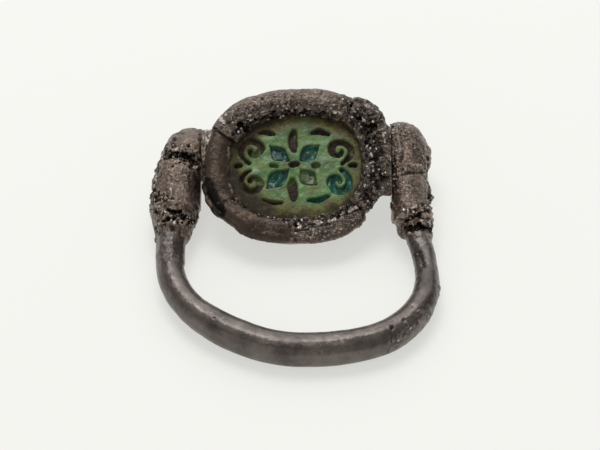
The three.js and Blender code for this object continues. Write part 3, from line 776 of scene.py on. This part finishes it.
class RING_OT_stage(RingOperator, bpy.types.Operator):
    """Set up the camera, the pale floor and the soft studio light"""

    bl_idname = "ring.stage"
    bl_label = "Stage"

    def execute(self, context):
        camera = bpy.data.objects.new("Camera", bpy.data.cameras.new("Camera"))
        context.scene.collection.objects.link(camera)
        camera.location = EYE * MM
        camera.rotation_euler = (math.pi / 2 - VIEW_ELEVATION, 0, 0)
        camera.data.lens = LENS
        camera.data.sensor_width = SENSOR
        camera.data.clip_start = 0.01
        camera.data.clip_end = 10
        context.scene.camera = camera
        context.scene.view_settings.view_transform = "Standard"
        self.add_floor(context)
        for name, look in LAMPS.items():
            self.add_lamp(context, name, *look)
        self.light_world(context)
        return {"FINISHED"}

    def add_floor(self, context):
        bpy.ops.object.select_all(action="DESELECT")
        bpy.ops.mesh.primitive_circle_add(
            vertices=96, radius=FLOOR_RADIUS, fill_type="TRIFAN", location=(0, 0, -FLOOR_DROP)
        )
        floor = context.object
        floor.name = "floor"
        material, tree = empty_material("Pale table")
        paper = tuple(context.scene.ring_colours.floor)
        diffuse = add_node(tree, "BsdfDiffuse", {"Color": paper})
        seen = add_node(tree, "LightPath")
        rays = {0: seen.outputs["Is Camera Ray"], 1: seen.outputs["Is Glossy Ray"]}
        shown = add_node(tree, "Math", rays, operation="MAXIMUM")
        lift = add_node(tree, "Math", {0: shown, 1: FLOOR_GLOW}, operation="MULTIPLY")
        glow = add_node(tree, "Emission", {"Color": paper, "Strength": lift})
        both = add_node(tree, "AddShader", {0: diffuse, 1: glow})
        add_node(tree, "OutputMaterial", {0: both})
        floor.data.materials.append(material)

    def add_lamp(self, context, name, bearing, elevation, distance, size, brightness):
        lamp = bpy.data.lights.new(name, "AREA")
        lamp.shape = "DISK"
        lamp.size = size
        lamp.energy = brightness * math.pi * math.pi * (size / 2) ** 2
        holder = bpy.data.objects.new(name, lamp)
        context.scene.collection.objects.link(holder)
        bearing, elevation = math.radians(bearing), math.radians(elevation)
        level = math.cos(elevation)
        toward = Vector((math.sin(bearing) * level, math.cos(bearing) * level, math.sin(elevation)))
        holder.location = toward * distance
        holder.rotation_euler = (-toward).to_track_quat("-Z", "Y").to_euler()

    def light_world(self, context):
        world = context.scene.world or bpy.data.worlds.new("World")
        context.scene.world = world
        world.use_nodes = True
        tree = world.node_tree
        tree.nodes.clear()
        toward = add_node(tree, "TexCoord").outputs["Generated"]
        height = add_node(tree, "SeparateXYZ", {0: toward}).outputs["Z"]
        wall, ceiling = WALL_TOP
        strength = {VALUE: height, LOW: wall, HIGH: ceiling, TO_LOW: WALL_LIGHT, TO_HIGH: CEILING_LIGHT}
        strength = add_node(tree, "MapRange", strength)
        background = add_node(tree, "Background", {"Color": linear("#FFFFFD"), "Strength": strength})
        add_node(tree, "OutputWorld", {0: background})


# Pieces

# The tables say what wear and corrosion did to each piece, and where shade and glints are painted on it.
# A route is a run of pixels on the photograph, and its width is in pixels too. Then come a stroke's depth
# in millimetres, below 0 for a ridge; the share of a crust, or of soot and painted shade; the shift of a
# pull; and the depth of a hollow and the size of its holes. A share over 1 is full further out from its
# route. A rub, a painted glint of bare pale silver, has only its route and width. An end is joined to what
# is next to it by a way and a length, and tapered by a way, a reach and a depth.

# Marks that run on from one piece to the next
RIGHT_SEAM = ([(396, 177), (408, 173), (422, 172), (432, 171)], 1.8, 0.2)
LEFT_SPLIT = ([(168, 210), (178, 212), (186, 218)], 3.5, 0.45)
LEFT_FOLD = ([(200, 218), (196, 228)], 7, (0, -0.1, 0))
# A painted glint at the right shoulder's lower corner, shared by two pieces
RIGHT_CORNER_GLINT = ([(403, 222), (403, 214)], 2.4)
WEDGE_EDGE = ([(207, 193), (213, 203), (220, 211)], 3.5, 0.22)

HOOP = {
    "strokes": [
        ([(392, 327)], 3, 0.12), ([(404, 320)], 3, 0.12), ([(385, 338)], 3, 0.1),
        ([(412, 306)], 2.5, 0.08), ([(214, 318)], 2, 0.08), ([(320, 352)], 2.5, 0.05),
        ([(392, 329), (391, 345), (387, 352)], 1.6, 0.08),
        ([(414, 248), (419, 256), (424, 266)], 4, 0.08), ([(156, 236), (157, 244)], 2.5, 0.15),
        ([(441, 286), (441, 290)], 5, -0.12),
    ],
    "crusts": [
        ([(168, 238), (170, 256)], 14, 0.3), ([(170, 262), (172, 290)], 9, 0.1),
        ([(395, 340), (412, 326), (428, 312)], 12, 0.45), ([(416, 248), (424, 266)], 6, 0.25),
        ([(420, 236), (426, 242)], 9, 0.25),
    ],
    "pulls": [
        ([(425, 250), (429, 292)], 18, (0.2, 0, 0)),
        ([(188, 272), (222, 314), (290, 334), (340, 335)], 12, (0.06, 0.12, 0)),
        ([(184, 240), (183, 262)], 7, (0.2, 0, 0)),
    ],
    # Painted shade: the right arm is darkened where the light's highlight falls on it
    "soots_and_shades": [([(420, 252), (430, 276), (431, 304)], 11, 0.42)],
}


class RING_OT_hoop(RingOperator, bpy.types.Operator):
    """Dress the hoop: a smooth hammered bar, wrinkled on its left arm and pitted at its lower right, with
    painted shade along its right arm
    """

    bl_idname = "ring.hoop"
    bl_label = "Hoop"

    def execute(self, context):
        dress("hoop", "hoop", "silver_bar", "bar", rounding=24, lumps=0.35, grain=0.25, pitted=0.1, **HOOP)
        return {"FINISHED"}


LEFT_KNUCKLE = {
    "strokes": [
        ([(172, 155), (177, 153)], 4, 0.3), ([(187, 156), (194, 160)], 4.5, 0.35),
        ([(173, 140), (175, 139)], 2.5, 0.25), ([(190, 167), (197, 168)], 2, -0.15),
        ([(181, 148), (182, 154)], 2, -0.2), ([(184, 152), (192, 152)], 2, -0.12),
    ],
    "crusts": [([(166, 154), (180, 154), (198, 162)], 13, 1), ([(158, 166), (163, 148)], 7, 0.7)],
    "hollows": [
        ([(168, 155), (182, 155), (197, 161)], 13, 0.34, 0.42), ([(158, 166), (166, 146)], 5, 0.2, 0.4),
    ],
    "pulls": [
        ([(172, 136), (164, 146), (158, 158)], 8, (-0.22, 0.12, 0)),
        ([(155, 164), (154, 188)], 7, (-0.2, 0, 0)), ([(184, 131), (202, 130)], 11, (0, 0.2, 0)),
    ],
    "joined": [(NEAR, 0.4), (RIGHT, 0.8)],
    # Painted shade along the gap at the collar and in the pitted hollow
    "soots_and_shades": [([(200, 130), (200, 172)], 2.5, 0.8), ([(167, 156), (184, 154), (198, 161)], 12, 0.7)],
    # Painted glints of bare pale silver
    "painted_glints": [
        ([(180, 147), (182, 154)], 2.7), ([(174, 149), (177, 148)], 2), ([(186, 163), (196, 167)], 2),
        ([(163, 151), (162, 156)], 1.7),
    ],
}
RIGHT_KNUCKLE = {
    "strokes": [
        ([(401, 138), (403, 150), (400, 162)], 1.8, 0.12), RIGHT_SEAM,
        ([(412, 166), (424, 168)], 3, -0.15),
    ],
    "crusts": [
        ([(392, 128), (394, 160), (392, 182)], 13, 0.4), ([(403, 128), (418, 148), (426, 168)], 16, 0.45),
    ],
    "hollows": [([(428, 150), (430, 168)], 6, 0.2, 0.4)],
    "pulls": [
        ([(392, 121), (412, 122), (425, 134)], 10, (-0.12, -0.26, -0.05)),
        ([(426, 130), (431, 142)], 7, (-0.14, -0.1, 0)), ([(430, 150), (431, 166)], 7, (0.24, 0, 0)),
    ],
    "joined": [(NEAR, 0.3), (LEFT, 0.8)],
    # Painted shade along the gap at the collar
    "soots_and_shades": [([(392, 124), (392, 196)], 2.5, 0.8)],
}


class RING_OT_knuckles(RingOperator, bpy.types.Operator):
    """Dress the knuckles: rounded ends, wrinkled beside the swivel and pitted"""

    bl_idname = "ring.knuckles"
    bl_label = "Knuckles"

    def execute(self, context):
        dress("left_knuckle", "hoop", "silver_crust", "sheath", grain=0.7, pitted=0.5, **LEFT_KNUCKLE)
        dress("right_knuckle", "hoop", "silver_crust", "sheath", grain=0.7, pitted=0.5, **RIGHT_KNUCKLE)
        return {"FINISHED"}


LEFT_UPPER_WRAP = {
    "strokes": [
        ([(160, 163), (157, 172), (156, 182)], 1.8, 0.2), ([(151, 192), (156, 191), (160, 196)], 1.6, 0.25),
        ([(151, 202), (157, 203), (160, 210)], 1.8, 0.3), LEFT_SPLIT, ([(171, 190), (172, 197)], 1.8, -0.2),
        ([(184, 207), (187, 213)], 1.8, -0.2), ([(163, 202), (168, 199), (176, 201)], 2, -0.16),
    ],
    "crusts": [
        ([(158, 163), (155, 184)], 5, 0.8), ([(152, 196), (164, 200), (176, 206), (190, 218)], 12, 1),
        ([(150, 210), (160, 212), (180, 220)], 12, 1), ([(178, 163), (196, 168)], 3, 0.4),
    ],
    "hollows": [
        ([(168, 156), (182, 156), (197, 162)], 9, 0.36, 0.5), ([(158, 164), (154, 190)], 5, 0.2, 0.4),
        ([(154, 198), (168, 205), (186, 216)], 11, 0.4, 0.5),
    ],
    "pulls": [
        ([(155, 164), (154, 188)], 7, (-0.15, 0, 0)), ([(202, 180), (202, 208)], 7, (0.24, 0, 0)),
        LEFT_FOLD, ([(151, 218), (153, 230)], 6, (0.15, 0, 0)),
    ],
    "joined": [(FAR, 0.4), (NEAR, 0.4)],
    # Painted glints of bare pale silver
    "painted_glints": [
        ([(170, 190), (171, 197)], 2), ([(166, 203), (171, 200)], 2.4), ([(172, 207), (178, 204)], 2),
        ([(184, 200), (187, 203)], 1.7), ([(186, 166), (196, 170)], 2), ([(157, 176), (154, 186)], 1.7),
    ],
}
RIGHT_UPPER_WRAP = {
    "strokes": [
        RIGHT_SEAM, ([(396, 221), (403, 215)], 2.2, -0.25),
        ([(403, 215), (412, 219), (422, 216), (432, 221)], 2, -0.2), ([(432, 184), (433, 197)], 3, -0.2),
        ([(430, 186), (429, 198)], 1.6, 0.2), ([(406, 228), (418, 229), (434, 229)], 8, 0.8),
    ],
    "crusts": [
        ([(406, 214), (420, 207), (432, 204)], 10, 1), ([(400, 219), (432, 222)], 7, 1),
        ([(432, 172), (433, 215)], 6, 0.8), ([(390, 180), (390, 200)], 6, 0.7),
    ],
    "hollows": [([(412, 214), (432, 208)], 8, 0.3, 0.45), ([(431, 172), (431, 200)], 5, 0.25, 0.45)],
    "pulls": [
        ([(389, 190), (389, 206)], 7, (-0.3, 0, 0)), ([(431, 172), (431, 197)], 7, (0.3, 0, 0)),
        ([(393, 230), (398, 240), (406, 248)], 9, (0.35, 0.45, 0)),
    ],
    "joined": [(FAR, 0.3)],
    # Painted glints of bare pale silver
    "painted_glints": [
        RIGHT_CORNER_GLINT, ([(404, 219), (410, 216), (418, 217)], 2.4), ([(424, 219), (431, 223)], 1.9),
        ([(412, 208), (416, 205)], 1.5), ([(395, 196), (394, 206)], 1.4),
    ],
}


class RING_OT_upper_wraps(RingOperator, bpy.types.Operator):
    """Dress the smooth main lobes of the two shoulders"""

    bl_idname = "ring.upper_wraps"
    bl_label = "Upper wraps"

    def execute(self, context):
        for node, marks in (("left_upper_wrap", LEFT_UPPER_WRAP), ("right_upper_wrap", RIGHT_UPPER_WRAP)):
            dress(node, "hoop", "silver_sheath", "sheath", lumps=0.8, grain=0.5, pitted=0.2, **marks)
        return {"FINISHED"}


LEFT_LOWER_WRAP = {
    "strokes": [
        LEFT_SPLIT, ([(156, 228), (157, 243)], 2, 0.2), ([(164, 222), (167, 248)], 1.6, 0.12),
        ([(172, 222), (174, 248)], 1.6, 0.12), ([(180, 224), (180, 242)], 1.6, 0.1),
    ],
    "crusts": [([(150, 206), (168, 214), (198, 222)], 13, 0.9), ([(156, 226), (172, 250)], 12, 0.45)],
    "hollows": [
        ([(154, 206), (170, 216), (186, 218)], 10, 0.35, 0.5), ([(156, 230), (158, 246)], 5, 0.25, 0.5),
    ],
    "pulls": [
        ([(151, 218), (154, 250)], 7, (0.2, 0, 0)), LEFT_FOLD,
        ([(191, 236), (185, 250)], 8, (0.12, 0, 0)),
    ],
    "joined": [(FAR, 0.4)],
    "tapered": [(NEAR, 1.5, 0.4)],
}
RIGHT_LOWER_WRAP = {
    "strokes": [([(404, 227), (416, 229), (434, 229)], 8, 0.7)],
    "crusts": [([(392, 212), (400, 232), (408, 243)], 9, 1), ([(400, 223), (432, 225)], 9, 1)],
    "hollows": [([(396, 224), (408, 240)], 9, 0.3, 0.5), ([(404, 228), (432, 230)], 8, 0.4, 0.5)],
    "pulls": [
        ([(394, 228), (404, 247)], 10, (0.3, 0.12, 0)), ([(396, 239), (403, 246)], 9, (0.7, 0.4, 0)),
    ],
    "joined": [(FAR, 0.2)],
    # Painted glints of bare pale silver
    "painted_glints": [RIGHT_CORNER_GLINT, ([(404, 219), (412, 217), (431, 223)], 2.2)],
    "tapered": [(NEAR, 1.2, 0.35)],
}


class RING_OT_lower_wraps(RingOperator, bpy.types.Operator):
    """Dress the crusty lower ends of the sheathing"""

    bl_idname = "ring.lower_wraps"
    bl_label = "Lower wraps"

    def execute(self, context):
        dress("left_lower_wrap", "hoop", "silver_crust", "sheath", pitted=0.5, **LEFT_LOWER_WRAP)
        dress("right_lower_wrap", "hoop", "silver_crust", "sheath", **RIGHT_LOWER_WRAP)
        return {"FINISHED"}


class RING_OT_wire(RingOperator, bpy.types.Operator):
    """Give the wire that the setting turns on its finish"""

    bl_idname = "ring.wire"
    bl_label = "Wire"

    def execute(self, context):
        wire = frame["nodes"]["pivot_wire"]
        wire.material_slots[0].material = silver("bar")
        return {"FINISHED"}


# The seal's strokes: a route in shares of the face's half length and half width, the half widths at its
# ends and middle in millimetres, and whether glaze pools in it. Four petals stand round a dot.
SEAL_STROKES = [
    ([(0.05, 0.09), (0.18, 0.222), (0.308, 0.354)], 0.1, 0.74, True),
    ([(-0.126, 0.092), (-0.245, 0.218), (-0.363, 0.343)], 0.1, 0.68, True),
    ([(-0.124, -0.094), (-0.259, -0.241), (-0.393, -0.388)], 0.1, 0.82, True),
    ([(0.047, -0.094), (0.159, -0.216), (0.27, -0.338)], 0.1, 0.66, False),
    ([(-0.06, -0.004), (-0.024, 0.012)], 0.3, 0.3, False),
    ([(-0.046, 0.28), (-0.054, 0.43), (-0.038, 0.617)], 0.2, 0.38, False),
    ([(-0.031, -0.262), (-0.038, -0.43), (-0.031, -0.598)], 0.2, 0.44, False),
    ([(-0.308, 0.561), (-0.415, 0.607), (-0.508, 0.589)], 0.12, 0.24, False),
    ([(0.2, 0.598), (0.323, 0.636), (0.446, 0.589)], 0.12, 0.26, False),
    ([(-0.446, -0.598), (-0.323, -0.664), (-0.2, -0.673)], 0.12, 0.24, False),
    ([(0.185, -0.654), (0.308, -0.654), (0.431, -0.579)], 0.14, 0.26, True),
    ([(-0.835, -0.004), (-0.788, 0.012)], 0.22, 0.24, False),
    ([(0.777, 0.006), (0.823, -0.012)], 0.22, 0.24, False),
    ([(-0.342, 0.004), (-0.292, -0.012)], 0.2, 0.22, False),
    ([(0.238, -0.004), (0.285, 0.012)], 0.2, 0.22, False),
]

# The seal's coils: the middle in the same shares, the radius, the angle where it ends, its hand, and
# the rest as in a stroke. Each winds out from its inner share of the radius.
COIL_TURNS = 1.15
COIL_INNER = 0.2
SEAL_COILS = [
    ((-0.6, 0.271), 1.25, 250, 1, 0.19, 0.3, False),
    ((-0.592, -0.299), 1.2, 110, -1, 0.19, 0.28, False),
    ((0.592, 0.271), 1.25, 290, -1, 0.19, 0.3, False),
    ((0.577, -0.299), 1.3, 70, 1, 0.22, 0.36, True),
]

# The lines on the beetle's back, in millimetres from the stone's middle: the one along it, the round
# ones across it, and those on each side. A line has a route, a width and a depth, below 0 for a ridge,
# and a round one has its centre on the middle line, its radius and its half span in degrees for a route.
BEETLE_MIDDLE = ([(-1.3, 0), (6.2, 0)], 0.26, 0.32)
BEETLE_ARCS = [(-11, 7.1, 30, 0.28, 0.32), (-9.2, 7.9, 32, 0.3, 0.34), (-6.6, 1.5, 70, 0.22, 0.25)]
BEETLE_SIDES = [
    ([(-1.2, 0.45), (5.9, 0.35)], 0.16, 0.16),
    ([(-4.75, 1.7), (-4.7, 1.75)], 0.5, -0.22),
    ([(-1.5, 2.2), (-0.6, 2.9), (0.9, 3.4), (4, 2.9)], 0.22, 0.22),
    ([(-1.2, 1.9), (-0.2, 2.1)], 0.22, 0.25),
]


class RING_OT_stone(RingOperator, bpy.types.Operator):
    """Carve the stone: a seal of coils and crescents on its face, a beetle on its back"""

    bl_idname = "ring.stone"
    bl_label = "Stone"

    def execute(self, context):
        sizes = context.scene.ring_sizes
        skin = sizes.fine_skin / MM
        piece = skinned_copy("scarab", skin, 0)
        self.fill_cuts(piece)
        finish_with(piece, "REMESH", mode="VOXEL", voxel_size=skin)
        finish_with(piece, "SMOOTH", factor=0.5, iterations=3)
        local = to_setting(places_of(piece))
        outward = to_setting(outward_of(piece) + PIVOT)
        spots = local[:, :2] - STONE_MIDDLE
        on_face = soft_step(STONE_FACE - OFF_FACE, STONE_FACE - ON_FACE, local[:, 2])
        on_face *= soft_step(*FACES_OUT, outward[:, 2])
        pool, dirt, stain_and_shade = self.cut_shares(local, spots)
        under = soft_step(*FACES_DOWN, -outward[:, 2])
        cut = np.maximum(pool, dirt) * (CUT_LEVEL + CUT_SWING * uneven(local, *CUT_FLOOR))
        local[:, 2] -= cut * on_face * sizes.cut / MM + on_face * layered(local, WORN_FACE)
        lined = np.zeros(len(local))
        for route, width, depth in self.beetle_lines():
            near = under * (1 - soft_step(0, 1, to_route(spots, route) / width))
            local[:, 2] += depth * near
            lined = np.maximum(lined, near * (depth > 0))
        put_back(piece, from_setting(local))
        note(piece, "pool", pool * on_face)
        silt = POOL_EARTH * pool * patchy(local, SILTED)
        earthy = np.maximum(dirt * patchy(local, EARTHY), silt) * on_face
        note(piece, "dirt", np.maximum(earthy, LINE_EARTH * lined))
        note(piece, "stain_and_shade", stain_and_shade * on_face * patchy(local, PATCHY_STAIN_AND_SHADE))
        lopsided = np.linalg.norm(spots / STONE_HALVES, axis=1) - STAIN_LEAN * spots[:, 0] / STONE_HALVES[0]
        note(piece, "margin", np.maximum(soft_step(*EDGE_STAIN, lopsided), BACK_STAIN * under))
        into_frame(piece, "bezel", "scarab", glazed_stone())
        return {"FINISHED"}

    def fill_cuts(self, piece):
        """Brings the floors and walls of the frame's plain cuts up to the stone's face."""
        local = to_setting(places_of(piece))
        from_middle = np.linalg.norm((local[:, :2] - STONE_MIDDLE) / STONE_HALVES, axis=1)
        in_cut = (from_middle < 0.95) & (local[:, 2] > STONE_FACE - PLAIN_CUT)
        local[:, 2] = np.where(in_cut, STONE_FACE, local[:, 2])
        put_back(piece, from_setting(local))

    def cut_shares(self, local, spots):
        """How far each vertex is inside a cut with glaze in it, a cut with earth in it, and the stain and
        painted shade beside any cut. The cutter's lines waver, and their edges crumbled."""
        sway = CUT_SWAY * np.stack([uneven(local, SWAY_LENGTH, seed) for seed in SWAY_SEEDS], axis=1)
        crumbled = layered(local, CRUMBLED_EDGE)
        pool = np.zeros(len(local))
        dirt = np.zeros(len(local))
        stain_and_shade = np.zeros(len(local))
        for route, ends, middle, is_pool in self.seal_cuts():
            inside, beside = self.inside_cut(spots + sway, route, ends, middle, crumbled)
            stain_and_shade = np.maximum(stain_and_shade, beside)
            if is_pool:
                pool = np.maximum(pool, inside)
            else:
                dirt = np.maximum(dirt, inside)
        return pool, dirt, stain_and_shade

    def inside_cut(self, spots, route, ends, middle, crumbled):
        """How far each vertex is inside a cut whose half width grows from its ends to its middle, and how
        far it is inside the cut's border of stain and painted shade."""
        route = np.array(route, float)
        inside = np.zeros(len(spots))
        beside = np.zeros(len(spots))
        for i, (start, end) in enumerate(zip(route, route[1:])):
            distance, share = to_line(spots, start, end)
            distance += crumbled
            half = ends + (middle - ends) * np.sin(np.pi * (i + share) / (len(route) - 1))
            inside = np.maximum(inside, 1 - soft_step(half - CUT_BLUR, half + CUT_BLUR, distance))
            beside = np.maximum(beside, 1 - soft_step(half, half + STAIN_AND_SHADE_REACH, distance))
        return inside, beside

    def seal_cuts(self):
        """The seal's cuts: route, half width at its ends and middle, and whether glaze pools in it."""
        cuts = []
        for route, ends, middle, is_pool in SEAL_STROKES:
            cuts.append((np.array(route) * STONE_HALVES, ends, middle, is_pool))
        for hub, size, end, hand, ends, middle, is_pool in SEAL_COILS:
            along = np.linspace(0, 1, 40)
            reach = size * (COIL_INNER + (1 - COIL_INNER) * along)
            angle = math.radians(end) + hand * 2 * math.pi * COIL_TURNS * (along - 1)
            winding = np.stack([np.cos(angle), np.sin(angle)], axis=1) * reach[:, None]
            cuts.append((winding + np.array(hub) * STONE_HALVES, ends, middle, is_pool))
        return cuts

    def beetle_lines(self):
        """The lines on the beetle's back: the route, width and depth of each."""
        lines = [BEETLE_MIDDLE]
        for x, radius, half_span, width, depth in BEETLE_ARCS:
            turns = np.radians(np.linspace(-half_span, half_span, 16))
            arc = np.stack([x + radius * np.cos(turns), radius * np.sin(turns)], axis=1)
            lines.append((arc, width, depth))
        for side in (-1, 1):
            lines += [(np.array(route) * (1, side), width, depth) for route, width, depth in BEETLE_SIDES]
        return lines


# What a blow and long wear did to the setting's outline: filled out against the right shoulder and at
# the lower left, and worn away at the lower right
SETTING_PULLS = [
    ([(374, 108), (384, 120)], 8, (0.1, 0.1, 0)), ([(386, 124), (390, 128)], 9, (0, 0.5, 0.1)),
    ([(385, 130), (386, 160), (385, 194)], 9, (0.55, 0, 0)),
    ([(204, 186), (205, 202)], 8, (-0.42, 0, 0)), ([(207, 202), (217, 216)], 8, (-0.24, -0.2, 0)),
    ([(217, 217), (231, 228)], 7, (0.05, 0.1, 0)),
    ([(384, 203), (374, 216), (366, 222)], 11, (-0.36, 0.42, 0.1)),
    ([(361, 218), (361, 230)], 6, (0.34, -0.25, 0)),
    ([(240, 236), (300, 243), (350, 236)], 12, (0, -0.36, 0)),
    ([(252, 94), (300, 88), (348, 94)], 6, (0, -0.1, 0)),
    ([(212, 126), (226, 109), (248, 98)], 9, (-0.16, 0.16, 0)),
]
WALL = {
    "strokes": [([(206, 193), (212, 203), (219, 211)], 3.5, 0.2)],
    "crusts": [([(355, 190), (385, 205)], 14, 0.8), ([(385, 130), (386, 200)], 12, 0.8)],
    "pulls": [([(360, 100), (374, 108), (384, 122)], 17, (0.55, 0.5, 0.22)), *SETTING_PULLS],
    "joined": [(SEAL_WAY, 0.3)],
    # Painted shadow: the wall under the left plate is darkened to black
    "soots_and_shades": [([(203, 186), (208, 200), (216, 212)], 10, 1.8)],
}


class RING_OT_wall(RingOperator, bpy.types.Operator):
    """Dress the sheet silver wall round the stone"""

    bl_idname = "ring.wall"
    bl_label = "Wall"

    def execute(self, context):
        dress("bezel_band", "bezel", "silver_setting", "setting", rounding=6, **WALL)
        return {"FINISHED"}


# The lengths of rim, from the far side clockwise: the slot and finish of each, how far its two ends are
# joined to the next ones, how pitted it is, and its marks
RIM = {
    "rim_far": ("silver_setting", "setting", (0.15, 0.25), 0.3, {
        "strokes": [
            ([(262, 99)], 2.2, 0.3), ([(322, 90), (322, 96)], 1.4, 0.2),
            ([(240, 124), (247, 130)], 4, 0.4), ([(214, 128), (222, 136), (233, 141)], 2, 0.3),
        ],
        "crusts": [
            ([(232, 138), (248, 122), (275, 114), (310, 112), (345, 118)], 8, 1),
            ([(222, 130), (238, 114), (262, 106), (300, 103), (345, 108)], 8, 0.6),
            ([(345, 98), (352, 112)], 9, 0.9),
        ],
        "hollows": [([(236, 132), (250, 118), (290, 110), (345, 116)], 8, 0.09, 0.3)],
        # Painted shade along the inner edge, where the rim overhangs the stone
        "soots_and_shades": [([(232, 138), (248, 123), (275, 115), (310, 113), (345, 119)], 7, 0.65)],
        # Painted glints of bare pale silver
        "painted_glints": [
            ([(220, 119), (223, 123)], 2.2), ([(226, 115), (228, 117)], 2),
            ([(246, 117), (250, 115)], 1.7), ([(262, 112), (275, 109)], 1.4),
            ([(300, 109), (318, 109)], 1.4), ([(334, 112), (344, 114)], 1.5),
        ],
    }),
    "rim_right": ("silver_crust", "crust", (0.25, 0.35), 0.4, {
        "strokes": [([(373, 127)], 5, 0.8), ([(348, 97), (351, 106)], 2.2, 0.35)],
        "crusts": [
            ([(356, 116), (368, 128), (378, 150), (378, 180), (368, 200)], 16, 1),
            ([(358, 103), (376, 114), (388, 140), (388, 190)], 12, 0.6),
        ],
        "hollows": [([(362, 112), (376, 140), (378, 170), (366, 200)], 20, 0.14, 0.3)],
        # Painted shade along the inner band
        "soots_and_shades": [([(362, 118), (374, 140), (376, 170), (364, 196)], 13, 0.5)],
        # Painted glints of bare pale silver
        "painted_glints": [
            ([(360, 117), (366, 122)], 1.7), ([(370, 150), (372, 156)], 1.5),
            ([(368, 176), (365, 186)], 1.5), ([(383, 132), (385, 142)], 1.5),
            ([(364, 104), (372, 108)], 2.2), ([(377, 112), (382, 119)], 1.8),
        ],
    }),
    "rim_lower_right": ("silver_crust", "crust", (0.35, 0.3), 0.3, {
        "strokes": [
            ([(294, 231), (306, 230), (312, 227), (330, 224)], 1.4, 0.14),
            ([(291, 236), (296, 241)], 1.5, 0.16),
        ],
        "crusts": [([(296, 220), (330, 214), (360, 203), (378, 198)], 11, 1)],
        "hollows": [([(300, 222), (330, 216), (362, 204)], 9, 0.14, 0.3)],
        # Painted glints of bare pale silver
        "painted_glints": [
            ([(300, 226), (312, 223), (322, 222)], 1.9), ([(330, 221), (342, 217)], 1.9),
            ([(350, 211), (358, 206)], 1.7),
        ],
    }),
    # The two left lengths take the darker copy of the sheet silver as painted shade
    "rim_lower_left": ("silver_setting", "black", (0.3, 0.35), 0.2, {
        "strokes": [([(289, 218), (291, 229)], 1.6, 0.14), WEDGE_EDGE],
        "crusts": [([(232, 198), (260, 214), (288, 220)], 4, 0.8)],
        # Painted shadow in the wedge under the left plate
        "soots_and_shades": [([(206, 188), (212, 200), (221, 212)], 8, 1.8), ([(214, 204), (232, 197)], 3, 0.9)],
    }),
    "rim_left": ("silver_setting", "black", (0.35, 0.2), 0.1, {
        "strokes": [([(229, 148), (228, 170), (230, 188), (236, 199)], 1.5, -0.16), WEDGE_EDGE],
        "crusts": [([(229, 150), (230, 175), (234, 196)], 2.5, 0.4)],
        # Painted shadow in the wedge below, and painted shade over the plate
        "soots_and_shades": [
            ([(208, 184), (213, 196), (222, 209)], 8, 1.6), ([(222, 146), (221, 178), (226, 190)], 6, 0.3),
        ],
    }),
}


class RING_OT_rim(RingOperator, bpy.types.Operator):
    """Dress the five lengths of the rolled rim"""

    bl_idname = "ring.rim"
    bl_label = "Rim"

    def execute(self, context):
        for node, (slot, finish, ends, pitted, marks) in RIM.items():
            joined = zip((forward_round, backward_round), ends)
            dress(node, "bezel", slot, finish, pulls=SETTING_PULLS, joined=joined, rounding=10, lumps=0.6,
                  grain=0.3 + 0.8 * pitted, pitted=pitted, **marks)
        return {"FINISHED"}


# The left collar has ribs across it, by their place across the photograph
LEFT_COLLAR = {
    "strokes": [([(x, 128), (x - 1, 158)], 1.4, 0.12) for x in (204, 208, 212)],
    "pulls": [([(200, 131), (212, 130)], 7, (0, 0.15, 0))],
    "joined": [(LEFT, 0.8)],
    # Painted glints of bare pale silver
    "painted_glints": [
        ([(206, 131), (207, 146)], 2), ([(210, 129), (209, 141)], 2), ([(203, 134), (203, 140)], 1.5),
    ],
}
RIGHT_COLLAR = {"crusts": [([(388, 130), (388, 200)], 20, 1)], "joined": [(RIGHT, 0.8)]}


class RING_OT_collars(RingOperator, bpy.types.Operator):
    """Dress the short tubes at the setting's two ends"""

    bl_idname = "ring.collars"
    bl_label = "Collars"

    def execute(self, context):
        dress("left_collar", "bezel", "silver_setting", "sheath", rounding=6, **LEFT_COLLAR)
        dress("right_collar", "bezel", "silver_crust", "crust", rounding=6, **RIGHT_COLLAR)
        return {"FINISHED"}


class RING_PT_panel(bpy.types.Panel):
    """Lists the ring's operators"""

    bl_label = "Scarab Swivel Ring"
    bl_idname = "RING_PT_panel"
    bl_space_type = "VIEW_3D"
    bl_region_type = "UI"
    bl_category = "Ring"

    def draw(self, context):
        column = self.layout.column()
        for group in (context.scene.ring_sizes, context.scene.ring_colours):
            for name in group.__annotations__:
                column.prop(group, name)
        for operator in OPERATORS:
            column.operator(operator.bl_idname)


OPERATORS = (
    RING_OT_stage,
    RING_OT_hoop,
    RING_OT_knuckles,
    RING_OT_upper_wraps,
    RING_OT_lower_wraps,
    RING_OT_wire,
    RING_OT_stone,
    RING_OT_wall,
    RING_OT_rim,
    RING_OT_collars,
)
CLASSES = (RingSizes, RingColours, *OPERATORS, RING_PT_panel)


def register():
    for each in CLASSES:
        bpy.utils.register_class(each)
    bpy.types.Scene.ring_sizes = bpy.props.PointerProperty(type=RingSizes)
    bpy.types.Scene.ring_colours = bpy.props.PointerProperty(type=RingColours)


def unregister():
    del bpy.types.Scene.ring_colours
    del bpy.types.Scene.ring_sizes
    for each in reversed(CLASSES):
        bpy.utils.unregister_class(each)


def main():
    """Makes the whole ring."""
    register()
    bpy.ops.ring.stage()
    bpy.ops.ring.hoop()
    bpy.ops.ring.knuckles()
    bpy.ops.ring.upper_wraps()
    bpy.ops.ring.lower_wraps()
    bpy.ops.ring.wire()
    bpy.ops.ring.stone()
    bpy.ops.ring.wall()
    bpy.ops.ring.rim()
    bpy.ops.ring.collars()


if __name__ == "__main__":
    main()
